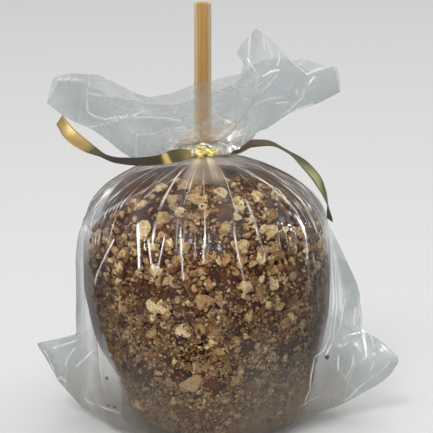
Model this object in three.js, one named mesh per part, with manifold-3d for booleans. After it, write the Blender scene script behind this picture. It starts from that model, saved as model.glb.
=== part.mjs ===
// A caramel apple rolled in chopped nuts, on a wooden stick, inside a clear bag tied with gold curling ribbon.
// The tied bag and what it holds are one solid; the stick and the ribbon are solids of their own.
// Units are millimetres and +Z is up. The origin is the middle of the flat base, on the axis of the stick.

import * as THREE from 'three';
import { mergeVertices } from 'three/addons/utils/BufferGeometryUtils.js';
import Module from 'manifold-3d';

const wasm = await Module();
wasm.setup();

// ---------------------------------------------------------------- driving dimensions

const FIT_GAP = 0.3; // clearance between pieces that touch

const STICK_DIAMETER = 6.35;
const STICK_LENGTH = 140;
const STICK_TOP = 156;
const STICK_CHAMFER = 0.5;
const STICK_SIDES = 24;

const TIE_HEIGHT = 102.8; // middle of the ribbon's loop
const NECK_RADIUS = 5.9; // bag gathered round the stick
const NECK_HALF_LENGTH = 2.7;

const APPLE_OFFSET = 1.2; // the apple sits this much to the right of the stick
const BASE_HALF_WIDTH = 37; // flat spot that the bag rests on
const BASE_HALF_DEPTH = 31;
const SIDE_FOLD_PINCH = 1.5; // above 1 the film runs hollow into the side folds
const PLEAT_DEPTH = 1.0; // gathers that fan out from the tie
const SLACK_DEPTH = 0.5; // slow waves of the loose film lower down

const FILM_THICKNESS = 0.9; // wall of the open mouth
const MOUTH_WAIST_SHARE = 0.42; // how far out each mouth column passes its waist height
const CRINKLE_DEPTH = 1.1;

const RIBBON_WIDTH = 4.8;
const RIBBON_THICKNESS = 0.8;
const LOOP_HEIGHT = 2;
const LOOP_SIDES = 36;

const COLUMNS = 84; // vertical grid lines round the bag
const MOUTH_STATIONS = 9;

// Outline of the bag where it hugs the apple: [height, radius].
const HUG_OUTLINE = [
  [0, 37.0], [2, 39.5], [6, 41.5], [12, 43.2], [20, 44.8], [30, 46.0], [42, 46.6], [54, 46.6],
  [64, 46.4], [71, 45.8], [77, 44.6], [82, 42.4], [86, 39.4], [89.5, 35.4], [92.6, 30.4],
  [95.4, 24.6], [97.8, 18.4], [99.6, 12.4], [100.8, 8.4], [101.5, NECK_RADIUS],
];

// Reach of the flat side folds from the axis, with the bottom corners as their tips: [height, reach].
const LEFT_FOLD = [
  [0, 39.0], [1.6, 45.0], [7.3, 50.6], [15.6, 56.8], [23, 60.4], [27.9, 62.4], [29.4, 57.5],
  [31.0, 48.6], [34, 47.8], [49, 47.8], [60, 47.8], [68, 47.0], [76, 45.0],
];
const RIGHT_FOLD = [
  [0, 38.5], [2, 48.0], [7.3, 58.4], [13.8, 67.6], [18.4, 71.6], [21.4, 73.2], [26, 69.5],
  [30.2, 65.0], [33.6, 59.8], [42, 59.2], [49, 58.0], [58.5, 54.2], [68, 49.6], [76, 45.3],
];

// Heights of the grid rings between the base and the neck.
const BODY_HEIGHTS = [
  0, 1.6, 4.4, 7.6, 11.4, 15.6, 19.2, 22, 24.8, 27.6, 29.2, 30.9, 34.3, 40, 47, 54, 61, 67.5, 73, 77.5,
  81.5, 85, 88, 90.6, 92.8, 94.8, 96.6, 98.4, 100, 101.5,
];

// Rim of the open mouth, counter-clockwise from the right-hand side fold: [x, y, z, waist height].
// The back layer comes first, then from the left-hand side fold the front layer. A fifth number is the x of
// the column's waist where it stands off the straight line to the neck: the right-hand lobe curls over there.
const MOUTH_RIM = [
  [50.2, 0, 123.8, 108.6], [49.3, 6, 131.8, 108.5], [38, 15, 133, 112], [29, 22, 133, 113],
  [20, 30, 130.5, 113], [12, 38, 122, 112], [3, 43, 117.5, 111], [-12.5, 43, 113, 109],
  [-21, 39.5, 114, 108], [-29, 33, 116, 107], [-36.5, 25.5, 119, 105.5], [-43, 16, 123, 104],
  [-52.5, 5, 127.5, 101.8],
  [-57, 0, 119.2, 101], [-53.8, -4.5, 129.3, 101.8], [-39.5, -14, 131.1, 104.5], [-32, -19, 129.2, 106.5],
  [-18, -31, 124.7, 110], [-2.6, -43, 131.9, 115.5], [13.1, -40, 135, 118.5], [14.8, -33, 138.5, 119.5, 13],
  [12.1, -26, 140.4, 120.5, 17], [19.3, -14, 148.2, 121, 18], [29.9, -10, 137.5, 116, 19],
  [37, -9, 131.5, 113.5, 20], [46.6, -5, 133.7, 110, 20.5],
];

// Middle lines of the ribbon's two tails: [x, y, z, lean of the width from upright in degrees].
const LEFT_TAIL = [
  [-1.5, -8.4, 102.8, 0], [-9, -12.5, 102.2, 30], [-15.2, -15, 101.0, 52], [-22.4, -14.5, 100.3, 62],
  [-29.8, -11.5, 100.2, 74], [-36, -7.5, 101.2, 92], [-43.4, -2.5, 104.2, 55], [-49.8, 3, 108.4, 25],
  [-53.2, 7, 112.4, 10],
];
const RIGHT_TAIL = [
  [1.5, -8.4, 102.8, 0], [7.6, -6.2, 102.9, -28], [12, 0, 102.3, -58], [17, 5.5, 103.6, -62],
  [24, 8.5, 103.4, -72], [31.5, 9.5, 100.0, -85], [38.4, 9.5, 94.6, -55], [44.0, 10.5, 87.4, -38],
  [47.2, 12.5, 79.3, -40], [48.2, 14, 72.6, -55],
];
const TAIL_STEPS = 44;
const KNOT_PINCH = 0.45; // share of the ribbon's width where it leaves the knot
const PINCH_LENGTH = 0.14; // share of a tail over which it widens again

// ---------------------------------------------------------------- colours

const COATED = { color: 0x8a6238, roughness: 0.45, metalness: 0 };
const WOOD = { color: 0xc99a5b, roughness: 0.6, metalness: 0 };
const GOLD = { color: 0xc9a649, roughness: 0.3, metalness: 0.9 };

// ---------------------------------------------------------------- helpers

// Smooth curve through [position, value] pairs that never overshoots between them.
function smoothTable(table) {
  return (position) => {
    const last = table.length - 1;
    if (position <= table[0][0]) return table[0][1];
    if (position >= table[last][0]) return table[last][1];
    let k = 0;
    while (table[k + 1][0] < position) k += 1;
    const slope = (a) => (table[a + 1][1] - table[a][1]) / (table[a + 1][0] - table[a][0]);
    const tangent = (a) => {
      if (a === 0) return slope(0);
      if (a === last) return slope(last - 1);
      const before = slope(a - 1);
      const after = slope(a);
      return before * after <= 0 ? 0 : (2 * before * after) / (before + after);
    };
    const width = table[k + 1][0] - table[k][0];
    const t = (position - table[k][0]) / width;
    const start = table[k][1] * (1 + 2 * t) * (1 - t) ** 2 + tangent(k) * width * t * (1 - t) ** 2;
    const end = table[k + 1][1] * t * t * (3 - 2 * t) + tangent(k + 1) * width * t * t * (t - 1);
    return start + end;
  };
}

// Closed solid from rings of equal length that run from one pole to the other.
// Rings turn counter-clockwise seen from above; from ring flipFrom on, the quads use the other diagonal.
function ringsToGeometry(rings, firstPole, lastPole, flipFrom = Infinity) {
  const count = rings[0].length;
  const points = [firstPole, ...rings.flat(), lastPole];
  const at = (ring, column) => 1 + ring * count + (column % count);
  const top = points.length - 1;
  const index = [];
  for (let column = 0; column < count; column += 1) {
    index.push(0, at(0, column + 1), at(0, column));
    for (let ring = 0; ring < rings.length - 1; ring += 1) {
      const a = at(ring, column);
      const b = at(ring, column + 1);
      const c = at(ring + 1, column + 1);
      const d = at(ring + 1, column);
      if (ring < flipFrom) index.push(a, b, c, a, c, d);
      else index.push(a, b, d, b, c, d);
    }
    index.push(at(rings.length - 1, column), at(rings.length - 1, column + 1), top);
  }
  const geometry = new THREE.BufferGeometry().setFromPoints(points);
  geometry.setIndex(index);
  geometry.computeVertexNormals();
  return geometry;
}

function toManifold(geometry) {
  const bare = geometry.clone();
  bare.deleteAttribute('normal');
  bare.deleteAttribute('uv');
  const merged = mergeVertices(bare, 1e-4);
  const vertProperties = new Float32Array(merged.attributes.position.array);
  const triVerts = new Uint32Array(merged.index.array);
  return new wasm.Manifold(new wasm.Mesh({ numProp: 3, vertProperties, triVerts }));
}

function toGeometry(manifold) {
  const mesh = manifold.getMesh();
  const geometry = new THREE.BufferGeometry();
  geometry.setAttribute('position', new THREE.BufferAttribute(new Float32Array(mesh.vertProperties), 3));
  geometry.setIndex(new THREE.BufferAttribute(new Uint32Array(mesh.triVerts), 1));
  geometry.computeVertexNormals();
  return geometry;
}

function namedMesh(name, geometry, finish) {
  const mesh = new THREE.Mesh(geometry, new THREE.MeshStandardMaterial(finish));
  mesh.name = name;
  return mesh;
}

// ---------------------------------------------------------------- bag

const TAU = 2 * Math.PI;
const hugRadius = smoothTable(HUG_OUTLINE);
const leftReach = smoothTable(LEFT_FOLD);
const rightReach = smoothTable(RIGHT_FOLD);

// Angle of each column, with the columns closer together at the two side folds.
const COLUMN_CROWDING = 0.45;
const columnAngles = Array.from({ length: COLUMNS }, (_, column) => {
  const even = (TAU * column) / COLUMNS;
  return even - 0.5 * COLUMN_CROWDING * Math.sin(2 * even);
});

// How much the film gathers fan out at this angle: a sum of unequal waves between -1 and 1.
function gathers(angle) {
  return 0.45 * Math.sin(17 * angle + 0.6) + 0.35 * Math.sin(11 * angle + 2.1) + 0.2 * Math.sin(26 * angle);
}

// Sideways place of the apple's middle at this height: on the axis at the base and the neck.
function appleShift(height) {
  return APPLE_OFFSET * Math.sin((Math.PI * height) / HUG_OUTLINE[HUG_OUTLINE.length - 1][0]);
}

// Distance of the film from the apple's middle: it hugs the apple and runs out to a flat fold at each side.
function bodyRadius(angle, height) {
  const hug = hugRadius(height);
  const toRight = Math.abs(Math.atan2(Math.sin(angle), Math.cos(angle)));
  const rightSide = toRight < Math.PI / 2;
  const foldReach = rightSide ? rightReach(height) - appleShift(height) : leftReach(height) + appleShift(height);
  const reach = Math.max(foldReach, hug + 0.01);
  if (height > 76.5) return hug;
  const fromFold = rightSide ? toRight : Math.PI - toRight;
  const tangentAngle = Math.acos(hug / reach);
  if (fromFold >= tangentAngle) return hug;
  const taut = (hug / Math.cos(tangentAngle - fromFold) - hug) / (reach - hug);
  return hug + (reach - hug) * taut ** SIDE_FOLD_PINCH;
}

function bodyRing(height) {
  const pleatEnvelope = smoothTable([[0, 0], [6, 0.3], [62, 0.25], [80, 0.8], [92, 1], [98.5, 0.4], [101.5, 0]]);
  const slackEnvelope = smoothTable([[0, 0], [8, 1], [34, 1], [50, 0]]);
  const depthShare = BASE_HALF_DEPTH / BASE_HALF_WIDTH;
  const flatten = depthShare + (1 - depthShare) * Math.min(1, height / 24);
  return columnAngles.map((angle) => {
    const slack = Math.sin(7 * angle + 0.9 + height * 0.07) * SLACK_DEPTH * slackEnvelope(height);
    const radius = bodyRadius(angle, height) + gathers(angle) * PLEAT_DEPTH * pleatEnvelope(height) + slack;
    const across = radius * Math.sin(angle) * flatten;
    return new THREE.Vector3(appleShift(height) + radius * Math.cos(angle), across, height);
  });
}

// Middle surface of the open mouth: each column leaves the neck, passes its waist and ends on the rim.
function mouthSurface() {
  const closedCurve = (points) => new THREE.CatmullRomCurve3(points, true, 'centripetal');
  const rim = closedCurve(MOUTH_RIM.map(([x, y, z]) => new THREE.Vector3(x, y, z)));
  const waist = closedCurve(MOUTH_RIM.map(([x, y, , height, waistX = x * MOUTH_WAIST_SHARE]) => (
    new THREE.Vector3(waistX, y * MOUTH_WAIST_SHARE, height))));
  const holeRadius = STICK_DIAMETER / 2 + FIT_GAP;
  const middleRadius = (NECK_RADIUS + holeRadius) / 2;
  const neckTop = TIE_HEIGHT + NECK_HALF_LENGTH;
  return Array.from({ length: MOUTH_STATIONS + 1 }, (_, station) => {
    const t = station / MOUTH_STATIONS;
    const share = MOUTH_WAIST_SHARE;
    const fromNeck = ((t - share) * (t - 1)) / share;
    const fromWaist = (t * (t - 1)) / (share * (share - 1));
    const fromRim = (t * (t - share)) / (1 - share);
    return columnAngles.map((angle) => {
      const around = angle / TAU;
      const neck = new THREE.Vector3(middleRadius * Math.cos(angle), middleRadius * Math.sin(angle), neckTop);
      const point = neck.multiplyScalar(fromNeck);
      point.addScaledVector(waist.getPoint(around), fromWaist);
      point.addScaledVector(rim.getPoint(around), fromRim);
      const crinkle = 0.6 * Math.sin(19 * angle + 5 * t) + 0.4 * Math.sin(31 * angle - 7 * t);
      point.z += CRINKLE_DEPTH * crinkle * t * (1 - 0.35 * t);
      return point;
    });
  });
}

// Unit normals of the mouth's middle surface, pointing to the inside of the mouth.
function mouthNormals(surface) {
  return surface.map((ring, station) => ring.map((point, column) => {
    if (station === 0) return new THREE.Vector3(-point.x, -point.y, 0).normalize();
    const next = surface[Math.min(station + 1, surface.length - 1)][column];
    const before = surface[station - 1][column];
    const ahead = ring[(column + 1) % ring.length];
    const behind = ring[(column + ring.length - 1) % ring.length];
    const outward = new THREE.Vector3().subVectors(next, before);
    const around = new THREE.Vector3().subVectors(ahead, behind);
    return outward.cross(around).normalize();
  }));
}

function bagGeometry() {
  const holeRadius = STICK_DIAMETER / 2 + FIT_GAP;
  const holeBottom = STICK_TOP - STICK_LENGTH - FIT_GAP;
  const circle = (radius, height) => columnAngles.map((angle) => (
    new THREE.Vector3(radius * Math.cos(angle), radius * Math.sin(angle), height)));
  const body = BODY_HEIGHTS.map(bodyRing);
  const neck = [circle(NECK_RADIUS, TIE_HEIGHT)];
  const surface = mouthSurface();
  const normals = mouthNormals(surface);
  const neckWall = NECK_RADIUS - holeRadius;
  const face = (side) => surface.map((ring, station) => {
    const wall = FILM_THICKNESS + (neckWall - FILM_THICKNESS) * Math.exp((-12 * station) / MOUTH_STATIONS);
    return ring.map((point, column) => (
      point.clone().addScaledVector(normals[station][column], (side * wall) / 2)));
  });
  const outside = face(-1);
  const inside = face(1).reverse();
  const hole = [circle(holeRadius, TIE_HEIGHT - 6), circle(holeRadius, holeBottom)];
  const rings = [...body, ...neck, ...outside, ...inside, ...hole];
  const flipFrom = body.length + neck.length + outside.length;
  return ringsToGeometry(rings, new THREE.Vector3(0, 0, 0), new THREE.Vector3(0, 0, holeBottom), flipFrom);
}

// ---------------------------------------------------------------- stick

function stickGeometry() {
  const radius = STICK_DIAMETER / 2;
  const profile = [
    new THREE.Vector2(0, STICK_TOP - STICK_LENGTH),
    new THREE.Vector2(radius, STICK_TOP - STICK_LENGTH),
    new THREE.Vector2(radius, STICK_TOP - STICK_CHAMFER),
    new THREE.Vector2(radius - STICK_CHAMFER, STICK_TOP),
    new THREE.Vector2(0, STICK_TOP),
  ];
  return new THREE.LatheGeometry(profile, STICK_SIDES).rotateX(Math.PI / 2);
}

// ---------------------------------------------------------------- ribbon

// Flat strip along a curve, its width turned about the curve by the given lean.
function tailGeometry(keys) {
  const line = new THREE.CatmullRomCurve3(keys.map(([x, y, z]) => new THREE.Vector3(x, y, z)));
  const lean = smoothTable(keys.map((key, place) => [place / (keys.length - 1), key[3]]));
  const rings = Array.from({ length: TAIL_STEPS + 1 }, (_, step) => {
    const t = step / TAIL_STEPS;
    const centre = line.getPoint(t);
    const along = line.getTangent(t);
    const upright = new THREE.Vector3(0, 0, 1).addScaledVector(along, -along.z).normalize();
    const width = upright.applyAxisAngle(along, THREE.MathUtils.degToRad(lean(t)));
    const across = new THREE.Vector3().crossVectors(along, width);
    const spread = KNOT_PINCH + (1 - KNOT_PINCH) * THREE.MathUtils.smoothstep(t, 0, PINCH_LENGTH);
    const corner = (side, face) => centre.clone()
      .addScaledVector(width, (side * spread * RIBBON_WIDTH) / 2)
      .addScaledVector(across, (face * RIBBON_THICKNESS) / 2);
    return [corner(1, 1), corner(-1, 1), corner(-1, -1), corner(1, -1)];
  });
  return ringsToGeometry(rings, line.getPoint(0), line.getPoint(1));
}

function ribbonGeometry() {
  const inner = NECK_RADIUS + FIT_GAP;
  const outer = inner + RIBBON_THICKNESS;
  const low = TIE_HEIGHT - LOOP_HEIGHT / 2;
  const high = TIE_HEIGHT + LOOP_HEIGHT / 2;
  const loopProfile = [[inner, low], [outer, low], [outer, high], [inner, high], [inner, low]];
  const loop = new THREE.LatheGeometry(loopProfile.map(([x, y]) => new THREE.Vector2(x, y)), LOOP_SIDES);
  loop.rotateX(Math.PI / 2);
  const knotCentre = new THREE.Vector3(0, -outer - 1.2, TIE_HEIGHT);
  const knot = new THREE.SphereGeometry(1, 14, 10).scale(2.6, 1.6, 1.9).translate(...knotCentre.toArray());
  const knotTurn = new THREE.SphereGeometry(1, 12, 8).scale(1.7, 1.2, 1.4);
  knotTurn.translate(knotCentre.x + 3, knotCentre.y + 0.4, knotCentre.z + 0.4);
  const pieces = [loop, knot, knotTurn, tailGeometry(LEFT_TAIL), tailGeometry(RIGHT_TAIL)].map(toManifold);
  return toGeometry(pieces.reduce((whole, piece) => whole.add(piece)));
}

// ---------------------------------------------------------------- the whole

const caramelApple = new THREE.Group();
caramelApple.add(namedMesh('bag', bagGeometry(), COATED));
caramelApple.add(namedMesh('stick', stickGeometry(), WOOD));
caramelApple.add(namedMesh('ribbon', ribbonGeometry(), GOLD));

export default caramelApple;
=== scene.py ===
# %% [markdown]
# # A caramel apple in a tied clear bag
# An apple on a stick is dipped in hot caramel and rolled in chopped nuts. When the caramel has set, the
# apple goes into a flat clear bag, and the bag is gathered round the stick and tied with curling ribbon.
# The CAD model already fixes every outer size, so this file only dresses it: a thin see-through film takes
# the place of the solid bag, and the apple, its caramel and some 45,000 pieces of nut go inside. Everything
# is worked out in millimetres with numpy, on grids, and put into Blender in metres at the end.

# %% Load the CAD frame
import math

import bpy
import numpy as np
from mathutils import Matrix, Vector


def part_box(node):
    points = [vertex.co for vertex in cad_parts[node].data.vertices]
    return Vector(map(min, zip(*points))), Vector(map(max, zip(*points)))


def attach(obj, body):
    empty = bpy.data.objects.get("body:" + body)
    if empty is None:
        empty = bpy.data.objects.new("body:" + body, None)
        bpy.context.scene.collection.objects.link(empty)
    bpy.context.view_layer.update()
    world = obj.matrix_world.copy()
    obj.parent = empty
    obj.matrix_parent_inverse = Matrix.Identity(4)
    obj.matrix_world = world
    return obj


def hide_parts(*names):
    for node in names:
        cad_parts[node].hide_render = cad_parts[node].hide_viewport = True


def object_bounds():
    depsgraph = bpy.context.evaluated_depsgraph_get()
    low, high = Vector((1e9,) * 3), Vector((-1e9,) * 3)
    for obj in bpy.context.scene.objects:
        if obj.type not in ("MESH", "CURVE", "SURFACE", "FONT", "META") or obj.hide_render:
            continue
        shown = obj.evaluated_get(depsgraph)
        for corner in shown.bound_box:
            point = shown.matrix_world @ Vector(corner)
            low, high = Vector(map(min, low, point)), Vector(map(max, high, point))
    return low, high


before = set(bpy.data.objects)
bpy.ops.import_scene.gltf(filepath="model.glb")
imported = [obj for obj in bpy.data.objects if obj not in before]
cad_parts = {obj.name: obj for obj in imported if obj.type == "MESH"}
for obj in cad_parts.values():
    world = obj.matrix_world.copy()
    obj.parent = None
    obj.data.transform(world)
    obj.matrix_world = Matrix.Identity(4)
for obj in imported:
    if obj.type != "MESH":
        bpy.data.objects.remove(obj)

cad_low, cad_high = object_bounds()
print("CAD box, mm:", [round(1000 * v, 1) for v in (*cad_low, *cad_high)])

# %% [markdown]
# ## Small helpers
# Three things come back in every step: a mesh made from arrays, a smooth curve through a few named sizes,
# and noise. Blender has a noise function of its own, but it takes one point at a time. The one here works
# on whole arrays, so a film with a hundred thousand vertices is crumpled in a fraction of a second.

# %% Points and faces of grids
MM = 0.001


def full_turn(count):
    """Evenly spaced angles once round, the last one a step short of the first."""
    return np.linspace(0, 2 * np.pi, count, endpoint=False)


def on_circle(radius, angle, height):
    """Point at this radius and angle round the stick, at this height."""
    return np.stack(np.broadcast_arrays(radius * np.cos(angle), radius * np.sin(angle), height), -1)


def grid_faces(rows, columns, around=True):
    """Quads of a grid stored row by row; around also joins the last column to the first."""
    row = np.arange(rows - 1)[:, None] * columns
    column = np.arange(columns if around else columns - 1)[None, :]
    ahead = (column + 1) % columns
    corners = [row + column, row + ahead, row + columns + ahead, row + columns + column]
    return np.stack(corners, -1).reshape(-1, 4)


def pole_faces(first, columns, pole, flip=False):
    """Triangles that join the ring of points from first on to the single point pole; flip turns them over."""
    column = np.arange(columns)
    near, far = first + column, first + (column + 1) % columns
    if flip:
        near, far = far, near
    return np.stack([np.full(columns, pole), far, near], -1)


def capped_rings(rings, ends=None):
    """Points and faces of a grid of closed rings, with a fan of triangles to one more point at each end.

    The two end points are the middles of the first and the last ring, unless others are given.
    """
    rows, columns = rings.shape[:2]
    ends = (rings[0].mean(0), rings[-1].mean(0)) if ends is None else ends
    points = np.vstack([rings.reshape(-1, 3), *ends])
    first_fan = pole_faces(0, columns, len(points) - 2)
    last_fan = pole_faces((rows - 1) * columns, columns, len(points) - 1, flip=True)
    return points, [grid_faces(rows, columns), first_fan, last_fan]


def repeated_faces(faces, count, step):
    """Triangles of count copies of one shape that has step points, copy after copy."""
    return (faces[None] + (np.arange(count) * step)[:, None, None]).reshape(-1, 3)


# %% Meshes from arrays
def make_piece(name, points_mm, face_groups, smooth=True, attributes=None):
    """A mesh object from points in millimetres and arrays of faces; an attribute has one number per point."""
    mesh = bpy.data.meshes.new(name)
    points = np.asarray(points_mm, float).reshape(-1, 3)
    loops = np.concatenate([group.ravel() for group in face_groups])
    sizes = np.concatenate([np.full(len(group), group.shape[1]) for group in face_groups])
    mesh.vertices.add(len(points))
    mesh.vertices.foreach_set("co", (points * MM).ravel())
    mesh.loops.add(len(loops))
    mesh.loops.foreach_set("vertex_index", loops.astype(np.int32))
    mesh.polygons.add(len(sizes))
    starts = np.concatenate([[0], np.cumsum(sizes)[:-1]])
    mesh.polygons.foreach_set("loop_start", starts.astype(np.int32))
    mesh.polygons.foreach_set("loop_total", sizes.astype(np.int32))
    mesh.polygons.foreach_set("use_smooth", np.full(len(sizes), smooth))
    for label, values in (attributes or {}).items():
        layer = mesh.attributes.new(label, "FLOAT", "POINT")
        layer.data.foreach_set("value", np.asarray(values, np.float32).ravel())
    mesh.update()
    mesh.validate()
    piece = bpy.data.objects.new(name, mesh)
    bpy.context.scene.collection.objects.link(piece)
    print(f"{name}: {len(points)} points, {len(sizes)} faces")
    return piece


# %% Smooth curves and steps
def smooth_curve(table, at):
    """Value of a table of [position, value] at each position: piecewise cubic, and it never overshoots."""
    table = np.asarray(table, float)
    place, value = table[:, 0], table[:, 1]
    slope = np.diff(value) / np.diff(place)
    product = slope[:-1] * slope[1:]
    total = np.where(product > 0, slope[:-1] + slope[1:], 1)
    tangent = np.concatenate([slope[:1], np.where(product > 0, 2 * product / total, 0), slope[-1:]])
    at = np.clip(np.asarray(at, float), place[0], place[-1])
    k = np.clip(np.searchsorted(place, at, side="right") - 1, 0, len(slope) - 1)
    width = place[k + 1] - place[k]
    t = (at - place[k]) / width
    start = value[k] * (1 + 2 * t) * (1 - t) ** 2 + tangent[k] * width * t * (1 - t) ** 2
    end = value[k + 1] * t * t * (3 - 2 * t) + tangent[k + 1] * width * t * t * (t - 1)
    return start + end


def between_keys(keys, around):
    """The keys of a closed way as an array, the number of the key before each share around, and how far past.

    Every stretch between two keys takes the same share of the way.
    """
    keys = np.asarray(keys, float)
    place = (np.asarray(around, float) % 1.0) * len(keys)
    return keys, np.floor(place).astype(int) % len(keys), (place - np.floor(place))[..., None]


def closed_curve(keys, around):
    """Point of a closed centripetal Catmull-Rom curve through the keys, at each share around."""
    keys, k, t = between_keys(keys, around)
    p0, p1, p2, p3 = (keys[(k + shift) % len(keys)] for shift in (-1, 0, 1, 2))
    stretches = ((p0, p1), (p1, p2), (p2, p3))
    d1, d2, d3 = (np.linalg.norm(b - a, axis=-1, keepdims=True) ** 0.5 for a, b in stretches)
    m1 = ((p1 - p0) / d1 - (p2 - p0) / (d1 + d2) + (p2 - p1) / d2) * d2
    m2 = ((p2 - p1) / d2 - (p3 - p1) / (d2 + d3) + (p3 - p2) / d3) * d2
    a = 2 * p1 - 2 * p2 + m1 + m2
    b = -3 * p1 + 3 * p2 - 2 * m1 - m2
    return ((a * t + b) * t + m1) * t + p1


def smooth_step(low, high, value):
    """0 below low, 1 above high, and a smooth slope between them; low may be the larger."""
    t = np.clip((value - low) / (high - low), 0, 1)
    return t * t * (3 - 2 * t)


# %% Noise on whole arrays
LATTICE_START = 512.0  # added to each place, so that no cell number is negative


def corner_value(x, y, z, seed):
    """A fixed random number between -1 and 1 for each whole-numbered lattice corner."""
    h = (x.astype(np.uint32) * np.uint32(374761393) + y.astype(np.uint32) * np.uint32(668265263)
         + z.astype(np.uint32) * np.uint32(2246822519) + np.uint32(seed * 3266489917 % 2 ** 32))
    h = (h ^ (h >> np.uint32(13))) * np.uint32(1274126177)
    h = h ^ (h >> np.uint32(16))
    return h.astype(float) / 2147483647.5 - 1


def noise(points, size, seed=0):
    """Smooth noise between -1 and 1: corner values of a lattice with cells of this size, blended."""
    q = np.asarray(points, float) / size + LATTICE_START
    base = np.floor(q).astype(np.int64)
    t = q - base
    t = t * t * (3 - 2 * t)
    total = 0
    for dx in (0, 1):
        for dy in (0, 1):
            for dz in (0, 1):
                weight = (t[..., 0] if dx else 1 - t[..., 0]) * (t[..., 1] if dy else 1 - t[..., 1])
                weight = weight * (t[..., 2] if dz else 1 - t[..., 2])
                corner = corner_value(base[..., 0] + dx, base[..., 1] + dy, base[..., 2] + dz, seed)
                total = total + weight * corner
    return total


def layered_noise(points, size, layers=3, seed=0):
    """Noise in layers, each half the size and half the height of the one before."""
    return sum(noise(points, size / 2 ** k, seed + 17 * k) / 2 ** k for k in range(layers))


def crumple(points, size, seed=0):
    """Sharp folds like those of crushed film: one minus the height of noise, so its zero lines are ridges."""
    return 1 - 2 * np.abs(noise(points, size, seed)) ** 0.8


# %% [markdown]
# ## Camera
# The view comes first, because it is what every other step is judged against. It looks slightly down at the
# apple from its front. A long lens from about half a metre keeps the bag's outline free of distortion.

# %% Camera
VIEW_ELEVATION = math.radians(12)
VIEW_DISTANCE = 560.0
VIEW_TARGET = np.array([5.0, 0.0, 77.1])
VIEW_WIDTH = 160.7  # width of the picture at the target
VIEW_FORWARD = np.array([0, math.cos(VIEW_ELEVATION), -math.sin(VIEW_ELEVATION)])
VIEW_UP = np.array([0, math.sin(VIEW_ELEVATION), math.cos(VIEW_ELEVATION)])
VIEW_POINT = VIEW_TARGET - VIEW_DISTANCE * VIEW_FORWARD
SENSOR_WIDTH = 36

camera = bpy.data.objects.new("camera", bpy.data.cameras.new("camera"))
bpy.context.scene.collection.objects.link(camera)
camera.data.sensor_width = SENSOR_WIDTH
camera.data.lens = SENSOR_WIDTH * VIEW_DISTANCE / VIEW_WIDTH
camera.location = VIEW_POINT * MM
camera.rotation_euler = (math.pi / 2 - VIEW_ELEVATION, 0, 0)
camera.data.clip_start = 0.01
bpy.context.scene.camera = camera
print("lens, mm:", round(camera.data.lens, 1))


def front_view(points):
    """Where the camera sees each point, as [x, z] on the upright plane through the stick."""
    offset = points - VIEW_POINT
    nearness = VIEW_DISTANCE / (offset @ VIEW_FORWARD)
    return np.stack([VIEW_TARGET[0] + offset[..., 0] * nearness,
                     VIEW_TARGET[2] + (offset @ VIEW_UP) * nearness / math.cos(VIEW_ELEVATION)], -1)


# %% [markdown]
# ## Material helpers
# Each finish is a small network of nodes. `Finish` adds a node, sets its sockets and links it in one line,
# which keeps the recipes below short enough to read as recipes.


# %% Material helper
class Finish:
    """A node material under construction. A value given for a socket may be another node's socket."""

    def __init__(self, name):
        self.material = bpy.data.materials.new(name)
        self.material.use_nodes = True
        self.tree = self.material.node_tree
        self.tree.nodes.clear()
        self.output = self.tree.nodes.new("ShaderNodeOutputMaterial")

    def node(self, kind, sockets=None, **settings):
        """Adds a node; a value that is itself a socket is linked, and any other is set."""
        made = self.tree.nodes.new("ShaderNode" + kind)
        for key, value in settings.items():
            setattr(made, key, value)
        for key, value in (sockets or {}).items():
            if isinstance(value, bpy.types.NodeSocket):
                self.tree.links.new(value, made.inputs[key])
            else:
                made.inputs[key].default_value = value
        return made

    def attribute(self, name):
        return self.node("Attribute", attribute_name=name).outputs["Fac"]

    def place(self):
        return self.node("TexCoord").outputs["Object"]

    def speckle(self, size_mm, detail=2.0, roughness=0.5, place=None):
        """Blender's noise with cells of a real size, in millimetres."""
        sockets = {"Vector": place or self.place(), "Scale": 1 / (size_mm * MM), "Detail": detail,
                   "Roughness": roughness}
        return self.node("TexNoise", sockets).outputs["Fac"]

    def ramp(self, factor, *stops):
        """Colour ramp through (position, (r, g, b)) stops in linear colour."""
        made = self.node("ValToRGB", {"Fac": factor})
        elements = made.color_ramp.elements
        while len(elements) < len(stops):
            elements.new(0.5)
        for element, (position, colour) in zip(elements, stops):
            element.position = position
            element.color = (*colour, 1)
        return made.outputs["Color"]

    def mix(self, factor, first, second, blend="MIX"):
        """Two colours mixed by factor; each is a socket or (r, g, b) in linear colour."""
        first, second = ((*value, 1) if isinstance(value, tuple) else value for value in (first, second))
        sockets = {0: factor, 6: first, 7: second}
        return self.node("Mix", sockets, data_type="RGBA", blend_type=blend).outputs[2]

    def maths(self, operation, first, second=0.0, third=0.0, clamp=False):
        """A Math node; MULTIPLY_ADD gives first times second plus third."""
        made = self.node("Math", {0: first, 1: second, 2: third}, operation=operation)
        made.use_clamp = clamp
        return made.outputs[0]

    def bump(self, height, strength, depth_mm):
        sockets = {"Height": height, "Strength": strength, "Distance": depth_mm * MM}
        return self.node("Bump", sockets).outputs["Normal"]

    def shader(self, kind, **sockets):
        """Output of a shader; a socket's name has _ for each space, and a colour is (r, g, b)."""
        named = {key.replace("_", " "): (*value, 1) if isinstance(value, tuple) else value
                 for key, value in sockets.items()}
        return self.node("Bsdf" + kind, named).outputs[0]

    def blend(self, factor, first, second):
        """Two shaders mixed by factor."""
        return self.node("MixShader", {0: factor, 1: first, 2: second}).outputs[0]

    def paint(self, shader, *pieces):
        """Ends the network with this shader and gives the material to the pieces."""
        self.tree.links.new(shader, self.output.inputs["Surface"])
        for piece in pieces:
            piece.data.materials.append(self.material)
        print(f"{self.material.name}: {len(self.tree.nodes)} nodes")


def linear(red, green, blue):
    """A colour given in screen values, 0 to 255, as the linear values that shaders take."""
    def one(value):
        share = value / 255
        return share / 12.92 if share <= 0.04045 else ((share + 0.055) / 1.055) ** 2.4
    return one(red), one(green), one(blue)


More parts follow.
